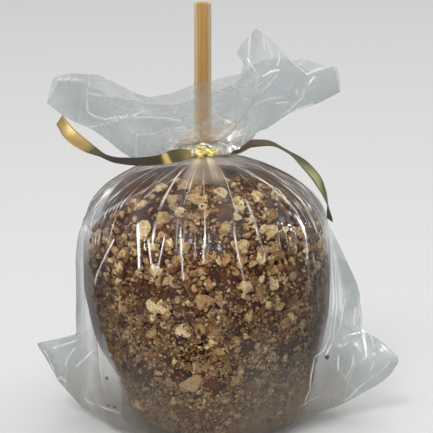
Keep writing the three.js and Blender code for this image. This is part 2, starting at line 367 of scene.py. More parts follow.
# %% [markdown]
# ## The apple in its caramel
# Under the nuts is an apple with a few millimetres of caramel. It could be a sphere with a dent, but real
# apples have broad shoulders and a narrow foot, and here the bare shoulders show. So it is an outline of
# radius against height, turned round the core, with soft lumps where the caramel has run. Further steps
# need the same surface to stand nuts on, so it is a function of angle and share of the outline.

# %% Apple surface
APPLE_OUTLINE = [  # [radius, height] of the caramel from under the apple to the dimple round the stick
    [0.4, 1.4], [14, 1.3], [23, 2.0], [29.4, 4.4], [32.6, 9], [34.4, 15], [36.2, 22], [38.2, 31], [39.9, 41],
    [41.0, 50], [41.6, 60], [41.4, 67], [40.4, 74], [38.2, 80.5], [34.6, 86], [29.4, 90.2], [22.6, 92.8],
    [15, 93.2], [9, 91.0], [4, 86.5], [0.4, 85.5],
]
APPLE_LEAN = [  # [height, x of the middle]
    [0, 5.2], [9, 5.2], [15, 5.2], [22, 4.4], [31, 3.3], [41, 2.5], [50, 2.1], [66, 1.6], [90, 0.4],
]
APPLE_ROWS, APPLE_COLUMNS = 170, 300
apple_outline = np.array(APPLE_OUTLINE)
apple_shares = np.concatenate([[0], np.cumsum(np.linalg.norm(np.diff(apple_outline, axis=0), axis=1))])
apple_shares /= apple_shares[-1]
apple_radii = np.column_stack([apple_shares, apple_outline[:, 0]])
apple_heights = np.column_stack([apple_shares, apple_outline[:, 1]])


def apple_surface(angle, share):
    """Point of the caramel: the outline turned round the core, with five soft shoulders and slow lumps."""
    radius, height = smooth_curve(apple_radii, share), smooth_curve(apple_heights, share)
    shoulder = smooth_step(60, 86, height) * smooth_step(4, 20, radius)
    radius = radius * (1 + 0.012 * np.sin(5 * angle + 0.7) * shoulder + 0.008 * np.sin(2 * angle + 1.9))
    point = on_circle(radius, angle, height)
    away = on_circle(smooth_step(0, 20, radius), angle, (height - 45) / 90)
    lump = 0.55 * noise(point, 14, 3) + 0.28 * noise(point, 6, 4)
    point = point + away * (lump * smooth_step(1.0, 6, radius))[..., None]
    point[..., 0] += smooth_curve(APPLE_LEAN, height)
    return point


def apple_normal(angle, share):
    """Outward unit normal of the caramel, from two small steps along the surface."""
    step = 1e-3
    above, below = np.minimum(share + step, 1), np.maximum(share - step, 0)
    around = apple_surface(angle + step, share) - apple_surface(angle - step, share)
    normal = np.cross(around, apple_surface(angle, above) - apple_surface(angle, below))
    return normal / np.linalg.norm(normal, axis=-1, keepdims=True)


shares, angles = np.meshgrid(np.linspace(0, 1, APPLE_ROWS), full_turn(APPLE_COLUMNS), indexing="ij")
caramel_piece = make_piece("caramel_apple", *capped_rings(apple_surface(angles, shares)))
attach(caramel_piece, "root")

# %% [markdown]
# Set caramel is a dark, glossy, slightly see-through sugar. Seen from outside it is red-brown where it is
# thick and golden where it is thin. Noise moves between the two, and a thin clear coat adds the wet shine.

# %% Caramel finish
caramel = Finish("caramel")
caramel_colour = caramel.ramp(caramel.speckle(7, 3, 0.55), (0.30, linear(42, 19, 10)),
                              (0.50, linear(78, 36, 18)), (0.72, linear(138, 70, 32)))
caramel_bump = caramel.bump(caramel.speckle(2.2, 3, 0.5), 0.6, 0.9)
caramel.paint(caramel.shader("Principled", Base_Color=caramel_colour, Roughness=0.26, Normal=caramel_bump,
                             Specular_IOR_Level=0.1, Coat_Weight=0.16, Coat_Roughness=0.1), caramel_piece)

# %% [markdown]
# ## Chopped nuts
# The coating is a mix of sizes: chunks as large as a pea, bits, and crumbs that fill the gaps. Scattering
# one model over the surface would look like gravel, so each piece gets its own shape. All pieces of a kind
# start as the same small ball, or the finest as the same cube, in one array. Noise makes each one lumpy,
# and random planes cut it (points past a plane are pushed back onto it), which leaves the flat broken faces
# of a chopped nut. What no plane has cut is the nut's own outside, so it can be painted as skin.

# %% Where nuts stick
NUT_LINE = [  # [angle, height] up to which nuts cover the apple; bare caramel above
    [0.0, 73], [0.9, 80], [1.6, 84], [2.4, 78], [3.14, 68], [3.6, 80], [4.05, 91], [4.4, 95], [5.0, 95],
    [5.5, 93], [5.9, 85], [6.2832, 73],
]
BARE_PATCHES = [  # [x, z, radius] on the front where the nuts have not taken and the caramel shows
    [-22, 77, 2.9], [30, 77, 3.6], [4, 55, 2.4], [8, 77, 2.8], [4, 13, 3.6], [34, 58, 2.6], [-12, 48, 2.2],
    [16, 28, 3.0], [-5, 38, 1.7], [-36, 74, 2.5],
]


def nut_cover(point, angle):
    """Chance from 0 to 1 that a piece sticks here: none above the ragged line, few on the bare patches."""
    line = smooth_curve(NUT_LINE, angle % (2 * np.pi)) + 3.5 * noise(point, 9, 21)
    cover = smooth_step(1.5, -2.5, point[..., 2] - line)
    thin = smooth_step(0.34, 0.56, noise(point, 9, 22)) * smooth_step(8, 30, point[..., 2])
    cover = cover * (1 - 0.85 * thin)
    cover = cover * (0.3 + 0.7 * smooth_step(-0.4, 0.05, noise(point, 2.8, 23)))
    seen = front_view(point)
    for x, z, radius in BARE_PATCHES:
        near = smooth_step(radius + 0.8, radius - 0.8, np.hypot(seen[..., 0] - x, seen[..., 1] - z))
        cover = cover * (1 - 0.93 * near * (point[..., 1] < 0))
    return cover


NO_TOP = 200.0  # a fade between this height and half of it is all above the apple
TRIES_PER_PIECE = 7
LAST_SHARE = 0.93  # past this share of the outline is the dimple round the stick, which stays bare
LOWEST_PLACE = 3.0
LOWEST_POINT = 0.8  # the film's foot lies under this height


def scatter(count, spacing, seed, top=NO_TOP):
    """Angles and shares of up to count places, drawn by area and thinned by the cover.

    The places stay spacing apart and fade out between half the height top and top.
    """
    draw = np.random.default_rng(seed)
    fine = np.linspace(0, 1, 800)
    area = np.cumsum(smooth_curve(apple_radii, fine))
    tries = count * TRIES_PER_PIECE
    share = np.interp(draw.random(tries) * area[-1], area, fine)
    angle = draw.random(tries) * 2 * np.pi
    point = apple_surface(angle, share)
    chance = nut_cover(point, angle) * smooth_step(top, 0.5 * top, point[:, 2])
    keep = (draw.random(tries) < chance) & (share < LAST_SHARE) & (point[:, 2] > LOWEST_PLACE)
    angle, share, point = angle[keep], share[keep], point[keep]
    if spacing > 0:
        chosen = []
        for k in range(len(point)):
            if not chosen or np.min(np.sum((point[chosen] - point[k]) ** 2, 1)) > spacing ** 2:
                chosen.append(k)
            if len(chosen) == count:
                break
        angle, share = angle[chosen], share[chosen]
    return angle[:count], share[:count]


# %% Shape of the pieces
GOLDEN = (1 + 5 ** 0.5) / 2
BALL_POINTS = [  # the twelve corners of an icosahedron
    (-1, GOLDEN, 0), (1, GOLDEN, 0), (-1, -GOLDEN, 0), (1, -GOLDEN, 0), (0, -1, GOLDEN), (0, 1, GOLDEN),
    (0, -1, -GOLDEN), (0, 1, -GOLDEN), (GOLDEN, 0, -1), (GOLDEN, 0, 1), (-GOLDEN, 0, -1), (-GOLDEN, 0, 1),
]
BALL_FACES = [
    (0, 11, 5), (0, 5, 1), (0, 1, 7), (0, 7, 10), (0, 10, 11), (1, 5, 9), (5, 11, 4), (11, 10, 2), (10, 7, 6),
    (7, 1, 8), (3, 9, 4), (3, 4, 2), (3, 2, 6), (3, 6, 8), (3, 8, 9), (4, 9, 5), (2, 4, 11), (6, 2, 10),
    (8, 6, 7), (9, 8, 1),
]
CUBE = (np.array([(x, y, z) for x in (-1, 1) for y in (-1, 1) for z in (-1, 1)], float) / 3 ** 0.5,
        np.array([(0, 1, 3), (0, 3, 2), (4, 6, 7), (4, 7, 5), (0, 4, 5), (0, 5, 1), (2, 3, 7), (2, 7, 6),
                  (0, 2, 6), (0, 6, 4), (1, 5, 7), (1, 7, 3)]))


def ball(level):
    """Points and triangles of a unit icosahedron, each triangle split in four level times."""
    points, faces = list(BALL_POINTS), BALL_FACES
    for _ in range(level):
        split, finer = {}, []
        for face in faces:
            middle = []
            for a, b in ((0, 1), (1, 2), (2, 0)):
                edge = tuple(sorted((face[a], face[b])))
                if edge not in split:
                    split[edge] = len(points)
                    points.append(tuple((p + q) / 2 for p, q in zip(points[edge[0]], points[edge[1]])))
                middle.append(split[edge])
            finer += [(face[0], middle[0], middle[2]), (face[1], middle[1], middle[0]),
                      (face[2], middle[2], middle[1]), tuple(middle)]
        faces = finer
    return unit_rows(np.array(points, float)), np.array(faces)


def unit_rows(vectors):
    """Each vector divided by its length."""
    return vectors / np.maximum(np.linalg.norm(vectors, axis=-1, keepdims=True), 1e-9)


def cut_bodies(draw, unit, count, cuts, lumps, seed):
    """Lumpy copies of the unit shape with random planes cut off, and 0 to 1 for how much each point was cut.

    A point past a plane moves back onto it, along the plane's normal.
    """
    offset = draw.uniform(0, 300, (count, 1, 3))
    body = unit * (1 + lumps * layered_noise(unit + offset, 0.9, 2, seed))[..., None]
    body = body * (1 + 0.05 * draw.standard_normal((count, len(unit), 1)))
    cut_share = np.zeros((count, len(unit)))
    for _ in range(cuts):
        plane = unit_rows(draw.standard_normal((count, 3)))
        depth = draw.uniform(0.3, 0.85, (count, 1))
        excess = np.maximum(0, np.einsum("kvi,ki->kv", body, plane) - depth)
        body -= excess[..., None] * plane[:, None]
        cut_share = np.maximum(cut_share, np.minimum(1, excess * 8))
    return body, cut_share


def nut_pieces(name, places, sizes, tone, shape, cuts, sink, seed, along=None, lumps=0.24):
    """Joined mesh of nut pieces: lumpy cut bodies of the given sizes, turned and pressed into the caramel.

    places holds angle and share on the apple, sizes the length, width and thickness of each piece, and sink
    the least and most that its middle stands above the caramel, as a share of its half thickness. With
    along, the pieces lie flatter and their lengths follow it.
    """
    draw = np.random.default_rng(seed)
    origin, normal = apple_surface(*places), apple_normal(*places)
    count, (unit, faces) = len(origin), shape
    body, cut_share = cut_bodies(draw, unit, count, cuts, lumps, seed)
    body *= 0.5 * sizes[:, None] / np.maximum(np.ptp(body, axis=1)[:, None] / 2, 0.3)
    lean = 0.10 if along is not None else 0.32
    up = unit_rows(normal + lean * draw.standard_normal((count, 3)))
    side = draw.standard_normal((count, 3)) if along is None else along
    side = unit_rows(side - up * np.sum(side * up, 1, keepdims=True))
    turn = np.stack([side, np.cross(up, side), up], 1)
    middle = origin + normal * (0.5 * sizes[:, 2:] * draw.uniform(*sink, (count, 1)))
    points = np.einsum("kvi,kij->kvj", body, turn) + middle[:, None]
    points[..., 2] = np.maximum(points[..., 2], LOWEST_POINT)
    rise = np.einsum("kvi,ki->kv", points - origin[:, None], normal)
    # near the foot the tones draw together and grow a little paler; the palest pieces show no skin
    tone = np.clip(tone + smooth_step(46, 26, origin[:, 2]) * (0.12 + 0.35 * (0.5 - tone)), 0, 1)
    cut_share = np.maximum(cut_share, smooth_step(0.75, 0.95, tone)[:, None])
    every = np.ones((1, len(unit)))
    piece = make_piece(name, points, [repeated_faces(faces, count, len(unit))], smooth=False, attributes={
        "tone": tone[:, None] * every, "kind": draw.random(count)[:, None] * every, "cut": cut_share,
        "rise": rise})
    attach(piece, "root")
    print(f"  {count} pieces, highest {rise.max():.1f} mm above the caramel")
    return piece


def random_sizes(places, low, high, seed):
    """Length, width and thickness of a piece for each place.

    Lengths lie between low and high, more of them short, and are shorter near the foot; widths and
    thicknesses are random shares of the length.
    """
    draw = np.random.default_rng(seed)
    count = len(places[0])
    length = low * (high / low) ** (draw.random(count) ** 1.5)
    length = length * (0.74 + 0.26 * smooth_step(22, 52, apple_surface(*places)[:, 2]))
    return length[:, None] * np.stack([np.ones(count), draw.uniform(0.6, 0.95, count),
                                       draw.uniform(0.42, 0.75, count)], -1)


# %% [markdown]
# The largest chunks on the front decide how the coating is recognised, so those have a place, a size and a
# tone of their own. The rest is drawn at random, with the seed fixed so that each run makes the same apple.

# %% Large chunks
CHUNKS = [  # [x, z, width, height, tone] of the large chunks as seen from the front
    [-22, 81, 5.2, 3.2, .8], [-8, 78, 4.1, 3.6, 1], [12, 81, 4.6, 5, .8], [23, 77, 3.2, 3, .7],
    [25, 71, 4.6, 5.3, .6], [26, 65, 5.2, 4, .55], [33, 65, 3.9, 3.2, .7], [35, 71, 3.7, 3.2, .5],
    [-31, 58, 5.3, 4.7, 1], [-35, 54, 5, 3.2, .8], [-33, 42, 3.8, 6, .55], [-17.6, 43.6, 5.6, 5.7, 1],
    [-14.2, 44.0, 5.2, 5.4, 1], [0, 45, 8.2, 6, .62], [6, 45, 3.8, 6, .6], [17, 40, 3.4, 4.7, .9],
    [30, 38, 5.2, 4.7, .68], [39, 40, 5.6, 4.6, .6], [-1, 36, 4.2, 5, .75], [-7, 34, 6.4, 5.4, 1],
    [-19, 33, 5.8, 4.8, .62], [-24, 38, 3.8, 4, .6], [4, 32, 6, 3.2, .7], [12, 30, 3.8, 3.8, .7],
    [19, 32, 3.5, 5.3, .7], [-24, 23, 2.8, 7.8, .78], [-13, 30, 3.8, 2.8, .5], [6, 26, 6, 3.8, .7],
    [-2, 15, 9.8, 7, .62], [3.5, 18, 4, 2.6, .6], [14, 19, 2.6, 3.6, .8], [12, 15, 3.7, 3.8, .5],
    [25, 24, 4, 4, .5], [36, 14, 5.2, 4.7, .45], [28, 9, 3.2, 4.7, .5], [-38, 67, 5, 6, .25],
    [-30, 69, 3.8, 2.8, .4], [-32, 65, 4.6, 3.2, .4], [-36, 70, 2.6, 3.2, .6], [-1, 56, 3.8, 3.2, .4],
    [7, 72, 4.6, 5.3, .5], [15, 66, 6, 5.3, .55], [-15, 76, 4.6, 4, .5], [-15, 88, 4.2, 3.6, .8],
    [-2, 83, 6.8, 4.4, .5], [-11, 83, 5.2, 4, .5], [6, 90, 4.6, 4.6, .75], [6, 85, 4.6, 3.9, .75],
    [19, 85, 6.8, 4, .7], [28, 84, 6.6, 4, .75], [-26, 80, 3.2, 5.2, .6], [39, 69, 3.2, 4, .45],
]


def front_places(seen):
    """Angle and share of the apple surface that the camera sees nearest to each [x, z]."""
    share, angle = np.meshgrid(np.linspace(0.05, 0.97, 420), np.linspace(np.pi, 2 * np.pi, 420),
                               indexing="ij")
    share, angle = share.ravel(), angle.ravel()
    point = apple_surface(angle, share)
    facing = apple_normal(angle, share) @ VIEW_FORWARD < -0.05
    share, angle, view = share[facing], angle[facing], front_view(point[facing])
    nearest = [int(np.argmin(np.sum((view - place) ** 2, 1))) for place in seen]
    return angle[nearest], share[nearest]


CHUNK_THICKNESS = 0.62  # as a share of the smaller of width and height
CHUNK_SPACING = 5.4
CHUNK_CLEARANCE = 5.2  # least distance of a random chunk from the chunks above
chunks = np.array(CHUNKS, float)
chunk_places = front_places(chunks[:, :2])
chunk_points = apple_surface(*chunk_places)
chunk_sizes = np.column_stack([chunks[:, 2:4], CHUNK_THICKNESS * chunks[:, 2:4].min(1)])
chunk_sizes *= 1 + 0.18 * smooth_step(56, 70, chunks[:, 1:2])
draw = np.random.default_rng(90)
other_places = scatter(230, CHUNK_SPACING, 101)
other_points = apple_surface(*other_places)
nearest = np.sqrt(((other_points[:, None] - chunk_points[None]) ** 2).sum(-1)).min(1)
at_front = (other_points[:, 1] <= 4) & (other_points[:, 2] <= 60)
left_out = at_front & (draw.random(len(nearest)) >= 0.45)  # most of those would crowd the chunks above
apart = (nearest > CHUNK_CLEARANCE) & ~left_out
other_places, other_points = [value[apart] for value in other_places], other_points[apart]
all_places = [np.concatenate(pair) for pair in zip(chunk_places, other_places)]
all_sizes = np.concatenate([chunk_sizes, random_sizes(other_places, 4.0, 7.5, 102)])
all_tones = np.concatenate([chunks[:, 4], draw.uniform(0.35, 0.95, len(other_points))])
all_heights = np.concatenate([chunk_points[:, 2], other_points[:, 2]])
all_tones = np.clip(all_tones + 0.22 * smooth_step(52, 66, all_heights), 0, 1)
across = np.array([1.0, 0, 0]) + 0.25 * draw.standard_normal((len(chunks), 3))
all_along = np.concatenate([across, draw.standard_normal((len(other_points), 3))])
nut_chunks = nut_pieces("nut_chunks", all_places, all_sizes, all_tones, ball(2), 7, (0.4, 0.6), 100,
                        all_along)

# %% Bits, crumbs, grit and meal
SMALL_NUTS = {  # dullness: the power of the random tones, and how much less it is high up and near the foot
    "nut_bits": dict(count=2400, spacing=1.35, lengths=(1.9, 4.3), shape=ball(1), cuts=6, sink=(0.6, 1.3),
                     seed=200, dullness=(1.5, 0.8, 0.6)),
    "nut_crumbs": dict(count=9900, lengths=(0.7, 2.1), shape=ball(0), cuts=3, sink=(0.8, 3.4), seed=300,
                       dullness=(1.9, 0, 0.9)),
    "nut_grit": dict(count=16500, lengths=(0.5, 1.2), shape=CUBE, cuts=1, sink=(1, 5), seed=400, lumps=0.16,
                     dullness=(1.6, 0, 0)),
    "nut_meal": dict(count=16500, top=70.0, lengths=(0.5, 1.1), shape=CUBE, cuts=1, sink=(2, 9), seed=500,
                     lumps=0.16),
}


def small_nuts(name, draw, count, lengths, shape, cuts, sink, seed, dullness=None, spacing=0, top=NO_TOP,
               lumps=0.24):
    """Scattered pieces of one kind; without dullness their tones are drawn evenly and none is very dark."""
    places = scatter(count, spacing, seed + 1, top)
    height = apple_surface(*places)[:, 2]
    if dullness:
        power, less_high_up, less_at_foot = dullness
        power = power - less_high_up * smooth_step(50, 66, height)
        power = power - less_at_foot * smooth_step(44, 26, height)
        tones = draw.random(len(height)) ** power
    else:
        tones = draw.uniform(0.25, 0.95, len(height))
    sizes = random_sizes(places, *lengths, seed + 2)
    return nut_pieces(name, places, sizes, tones, shape, cuts, sink, seed, lumps=lumps)


draw = np.random.default_rng(91)
small_pieces = [small_nuts(name, draw, **kind) for name, kind in SMALL_NUTS.items()]

# %% [markdown]
# Inside, the nuts are cream to yellow; their skins and the smaller pieces are tan to brown, and whatever
# lies deep in the coating is stained by caramel. The material reads four numbers that the mesh carries for
# each point: the tone of the piece, a random kind, whether a plane has cut there, and the rise above the
# caramel. Small dark pits in the noise give the broken faces their grain. The loose crumbs, a few dark ones
# that have come off and lie in the bottom corners of the bag, get the same finish, so they are made first.

# %% Loose crumbs
LOOSE_CRUMBS = np.array([  # [x, z, radius], all on the plane between the two sheets of film
    [-36.7, 14.3, 0.45], [-33.8, 2.8, 0.5], [-36.2, 3.4, 0.45], [46.8, 22.6, 0.75], [65.7, 17.0, 0.4],
    [62.0, 13.2, 0.35],
])
draw = np.random.default_rng(600)
unit, faces = ball(1)
loose_places = np.insert(LOOSE_CRUMBS[:, :2], 1, 0, axis=1)[:, None]
uneven = 1 + 0.25 * draw.standard_normal((len(LOOSE_CRUMBS), len(unit), 1))
loose_points = loose_places + unit * LOOSE_CRUMBS[:, 2, None, None] * uneven
loose_points[..., 2] = np.maximum(loose_points[..., 2], LOWEST_POINT)
loose_zero = np.zeros(loose_points.shape[:2])
loose_crumbs = make_piece(
    "loose_crumbs", loose_points, [repeated_faces(faces, len(loose_points), len(unit))], smooth=False,
    attributes={"tone": loose_zero, "kind": loose_zero, "cut": loose_zero, "rise": loose_zero + 0.5})
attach(loose_crumbs, "root")

# %% Nut finish
nuts = Finish("chopped_nuts")
flesh = nuts.ramp(nuts.attribute("tone"), (0.00, linear(90, 52, 29)), (0.25, linear(132, 93, 58)),
                  (0.50, linear(180, 142, 99)), (0.75, linear(213, 183, 134)), (1.00, linear(238, 216, 166)))
skin = nuts.ramp(nuts.attribute("kind"), (0.0, linear(86, 42, 23)), (0.35, linear(136, 85, 50)),
                 (1.0, linear(192, 150, 100)))
nut_colour = nuts.mix(nuts.maths("MULTIPLY_ADD", nuts.attribute("cut"), 0.6, 0.4), skin, flesh)
mottle = nuts.ramp(nuts.speckle(1.0, 4, 0.65), (0.36, (0.46, 0.36, 0.28)), (0.54, (1.0, 1.0, 1.0)))
nut_colour = nuts.mix(0.4, nut_colour, mottle, "MULTIPLY")
grain = nuts.ramp(nuts.speckle(0.5, 2, 0.6), (0.36, (0.45, 0.40, 0.36)), (0.50, (0.9, 0.88, 0.86)),
                  (0.64, (1.25, 1.22, 1.16)))
nut_colour = nuts.mix(0.85, nut_colour, grain, "MULTIPLY")
stain = nuts.maths("MULTIPLY", nuts.attribute("rise"), 0.9, clamp=True)
nut_colour = nuts.mix(stain, linear(52, 22, 9), nut_colour)
nut_bump = nuts.bump(nuts.speckle(0.6, 3, 0.6), 0.6, 0.3)
nuts.paint(nuts.shader("Principled", Base_Color=nut_colour, Roughness=0.6, Normal=nut_bump,
                       Specular_IOR_Level=0.02, Coat_Weight=0.03, Coat_Roughness=0.12),
           nut_chunks, *small_pieces, loose_crumbs)

# %% [markdown]
# ## The bag
# The film is the piece that makes or breaks this object. It hugs the apple, leaves it at both sides in a
# flat fold, ends below in two pointed corners, and fans out of the tie above in sharp pleats. Cloth
# simulation could find such a shape, but it would come out a little different from the CAD model at each
# change. Here the film is a function of angle and height instead: the outline that hugs the apple, plus the
# reach of the side folds, plus creases that each have a place, a length and a depth.

# %% Sizes of the bag, as in the CAD model
NECK_RADIUS = 5.9
MOUTH_NECK_RADIUS = NECK_RADIUS - 0.5  # where the mouth leaves the neck
TIE_HEIGHT = 102.8
NECK_TOP = 105.5
BASE_HALF_WIDTH, BASE_HALF_DEPTH = 37.0, 31.0
ROUND_HEIGHT = 24  # from here up the bag is as deep as it is wide
SIDE_FOLD_PINCH = 1.5
HUG_OUTLINE = [  # [height, radius]
    [0, 37.0], [2, 39.5], [6, 41.5], [12, 43.2], [20, 44.8], [30, 46.0], [42, 46.6], [54, 46.6],
    [64, 46.4], [71, 45.8], [77, 44.6], [82, 42.4], [86, 39.4], [89.5, 35.4], [92.6, 30.4],
    [95.4, 24.6], [97.8, 18.4], [99.6, 12.4], [100.8, 8.4], [101.5, NECK_RADIUS],
]
LEFT_FOLD = [  # [height, reach]
    [0, 39.0], [1.6, 45.0], [7.3, 50.6], [15.6, 56.8], [23, 60.4], [27.9, 62.4], [29.4, 57.5],
    [31.0, 48.6], [34, 47.8], [49, 47.8], [60, 47.8], [68, 47.0], [76, 45.0],
]
RIGHT_FOLD = [
    [0, 38.5], [2, 48.0], [7.3, 58.4], [13.8, 67.6], [18.4, 71.6], [21.4, 73.2], [26, 69.5],
    [30.2, 65.0], [33.6, 59.8], [42, 59.2], [49, 58.0], [58.5, 54.2], [68, 49.6], [76, 45.3],
]
FOLD_TOP = 76.5
BODY_TOP = HUG_OUTLINE[-1][0]
BAG_OFFSET = 1.2  # the middle of the bag sits this much to the right of the stick at mid height
MOUTH_WAIST_SHARE = 0.42
# Rim of the mouth: [x, y, z, waist height, x of the waist if off the straight line to the neck],
# from the right-hand fold by the back to the left, then the front.
MOUTH_RIM = [
    [50.2, 0, 123.8, 108.6], [49.3, 6, 131.8, 108.5], [38, 15, 133, 112], [29, 22, 133, 113],
    [20, 30, 130.5, 113], [12, 38, 122, 112], [3, 43, 117.5, 111], [-12.5, 43, 113, 109],
    [-21, 39.5, 114, 108], [-29, 33, 116, 107], [-36.5, 25.5, 119, 105.5], [-43, 16, 123, 104],
    [-52.5, 5, 127.5, 101.8],
    [-57, 0, 119.2, 101], [-53.8, -4.5, 129.3, 101.8], [-39.5, -14, 131.1, 104.5], [-32, -19, 129.2, 106.5],
    [-18, -31, 124.7, 110], [-2.6, -43, 131.9, 115.5], [13.1, -40, 135, 118.5], [14.8, -33, 138.5, 119.5, 13],
    [12.1, -26, 140.4, 120.5, 17], [19.3, -14, 148.2, 121, 18], [29.9, -10, 137.5, 116, 19],
    [37, -9, 131.5, 113.5, 20], [46.6, -5, 133.7, 110, 20.5],
]

# %% Angles of the film's columns
FILM_COLUMNS = 800
COLUMN_CROWDING = 0.12
film_angles = full_turn(FILM_COLUMNS) - 0.5 * COLUMN_CROWDING * np.sin(2 * full_turn(FILM_COLUMNS))
print("columns of the film:", FILM_COLUMNS)


def turned(angle):
    """The same angle between minus pi and pi."""
    return (angle + np.pi) % (2 * np.pi) - np.pi


def along_rays(angle, height, spread, slope, shift=0):
    """Places for noise that runs in rays out of the tie: angle times spread, height times slope."""
    return np.stack([spread * turned(angle - 0.4) + shift, slope * height, 0 * height], -1)


# %% Creases of the film
def folded(points, size, seed, directions=5):
    """Height of film folded flat along straight lines, from 1 to -1, and how white its creases are.

    Each random direction gives a triangle wave, whose peaks are parallel creases; their sum is a set of
    flat facets.
    """
    draw = np.random.default_rng(seed)
    height, crease = 0, 0
    for k in range(directions):
        direction, spacing = unit_rows(draw.standard_normal(3)), size * draw.uniform(0.7, 1.5)
        wave = 0.5 * (points @ direction) / spacing + draw.uniform(0, 9)
        triangle = 4 * np.abs(wave - np.floor(wave + 0.5)) - 1
        height = height + triangle * spacing / size / directions
        line = smooth_step(1 - 0.9 / spacing, 1, np.abs(triangle))
        crease = np.maximum(crease, line * smooth_step(0.05, 0.5, noise(points, size, seed + k)))
    return height, crease


def crease_height(angle, height, creases, radius):
    """Sum of sharp ridges, each given by angle, top, foot, depth, half width and drift per height."""
    total = np.zeros_like(radius)
    for middle, top, foot, depth, half_width, drift in creases:
        offset = np.abs(turned(angle - middle - drift * (height - 0.5 * (top + foot)))) * radius
        along = smooth_step(foot, foot + 0.35 * (top - foot), height)
        along = along * smooth_step(top + 1.5, top - 1.5, height)
        total += depth * np.exp(-offset / half_width) * along
    return total


def fan_creases(count=96):
    """Pleats that fan out of the tie over the shoulders: unequal lengths, depths and widths all round."""
    draw = np.random.default_rng(7)
    middle = (np.arange(count) + draw.uniform(-0.4, 0.4, count)) * 2 * np.pi / count
    depth = draw.uniform(0.15, 0.7, count) * np.where(draw.random(count) < 0.3, -0.7, 1)
    return list(zip(middle, np.full(count, 99.5), draw.uniform(68, 93, count), depth,
                    draw.uniform(0.35, 0.9, count), draw.uniform(-0.003, 0.003, count)))


def wall_creases(count=46):
    """Long upright creases, scattered over the walls."""
    draw = np.random.default_rng(11)
    return list(zip(draw.uniform(0, 2 * np.pi, count), draw.uniform(40, 92, count),
                    draw.uniform(8, 40, count), draw.uniform(0.08, 0.32, count),
                    draw.uniform(0.4, 1.2, count), draw.uniform(-0.006, 0.006, count)))


# %% Single folds of the film
# Each is [depth, half width, then x and z of every corner of its line, as seen from the front]. Along each
# line the film is ridged and pale, partly a creased film's own paleness, partly a painted highlight.
BODY_FOLDS = [
    # pleats over the front, with painted highlights along them
    [0.8, 0.75, -23.8, 75, -23.8, 66.3, -23.6, 57.6], [0.5, 0.45, -20.4, 68.2, -19.3, 59.8, -17.8, 56],
    [0.5, 0.45, -17.8, 56, -16.7, 57.6, -15.2, 64.4, -14.1, 69.7],
    [0.6, 0.5, -8.2, 73.5, -8, 64.4, -7.2, 53], [0.6, 0.5, 0.7, 69.7, 0.2, 64.4, 0.2, 59.1],
    [0.6, 0.5, 11.1, 72, 13.3, 61.4, 15.9, 50.7], [0.5, 0.4, 19.7, 72, 21.9, 65.5, 24.9, 59.5],
    [0.5, 0.45, -33, 68.2, -36.4, 61.4, -39, 56, -39.9, 51.9],
    [0.6, 0.6, 31.5, 78.8, 34.1, 76.9, 36.4, 73.1],
    # over both shoulders
    [0.6, 0.5, -45.8, 71.3, -39, 76.2, -29.7, 82.3, -21.3, 87, -16.7, 90.9],
    [0.55, 0.5, -37.5, 77.7, -28.2, 83.9, -22.8, 86.2], [0.55, 0.5, -31.3, 80.7, -24.5, 83.9],
    [0.8, 1, -46.2, 70.6, -43.1, 72.1],
    [0.24, 0.5, 24.9, 94.4, 35, 86.1, 40.4, 75.8, 44.4, 67.4, 47.1, 59.8],
    [0.24, 0.5, 28.9, 96.4, 38.4, 86.8, 45.1, 75.8],
    # down the right-hand side and into its corner
    [0.12, 0.9, 36, 73.5, 38.6, 60.2, 39.3, 47.7], [0.12, 0.9, 40.4, 65.9, 42.7, 53, 43, 40.1],
    [0.5, 0.5, 47.6, 60.2, 48.2, 45.4, 46.2, 31.4, 44.5, 26.1, 41.9, 23.8, 40, 16.2, 39.5, 10.9, 37.6, 7.1],
    [0.5, 0.5, 48.8, 59.8, 49.3, 43.1, 47.5, 30.2, 45.3, 24.6],
    [0.4, 0.5, 52.3, 45.4, 50.5, 35.9, 47.1, 28, 45.3, 24.6],
    [0.5, 0.5, 58.6, 41.4, 59, 35.6, 59.4, 29.9, 59.6, 24, 57.9, 21.9],
    # the first of these is a broad painted highlight down the root of the right-hand wing
    [0.35, 1.8, 48.6, 63, 50.4, 52, 50.9, 42], [0.6, 0.8, 56, 42, 55.6, 35.9],
    [0.4, 0.5, 65.7, 28, 70.1, 22.3], [0.5, 0.6, 67.9, 21.5, 61.6, 15.8, 57.5, 12, 52.3, 7.1],
    [0.5, 0.4, 49.9, 24, 49.9, 19.1], [0.4, 0.35, 37.6, 6.6, 42.8, 8.5],
    [0.4, 0.35, 22.9, 0.3, 31, 3.7, 38.5, 6.1], [0.35, 0.35, 32.9, 10.9, 31, 5.6],
    # the left-hand corner
    [0.5, 0.6, -57.2, 26.8, -46.8, 29.9], [0.4, 0.5, -53.4, 18.5, -46.8, 27.2],
    [0.4, 0.5, -46.2, 20, -40.5, 26.8], [0.6, 0.8, -55.3, 14.7, -53.1, 16.2, -51.6, 14.7],
    [0.5, 0.6, -44.2, 8.2, -41.6, 6.7, -31.2, 2.6],
    # out of the tie over the shoulders
    [0.5, 0.4, -3.7, 99.7, -14.9, 91.3, -27.1, 84.1, -34.5, 79.9],
    [0.5, 0.4, -2.6, 99.3, -10.4, 91.7, -18.9, 86.4, -21.2, 84.5],
    [0.5, 0.35, -1.5, 98.5, -4.8, 89, -7.1, 81.5], [0.5, 0.35, 4.1, 99.3, 8.5, 90.9, 11.5, 81.5, 13, 77.7],
    [0.4, 0.35, 5.6, 99.7, 16.3, 94, 27.1, 87.2, 34.1, 78.8],
    [0.28, 0.4, 5.6, 100.4, 20.4, 96.3, 32.3, 89.4, 39.7, 81.1],
    [0.4, 0.35, -4.8, 100.1, -19.7, 94, -30.8, 87.2, -38.2, 78],
]
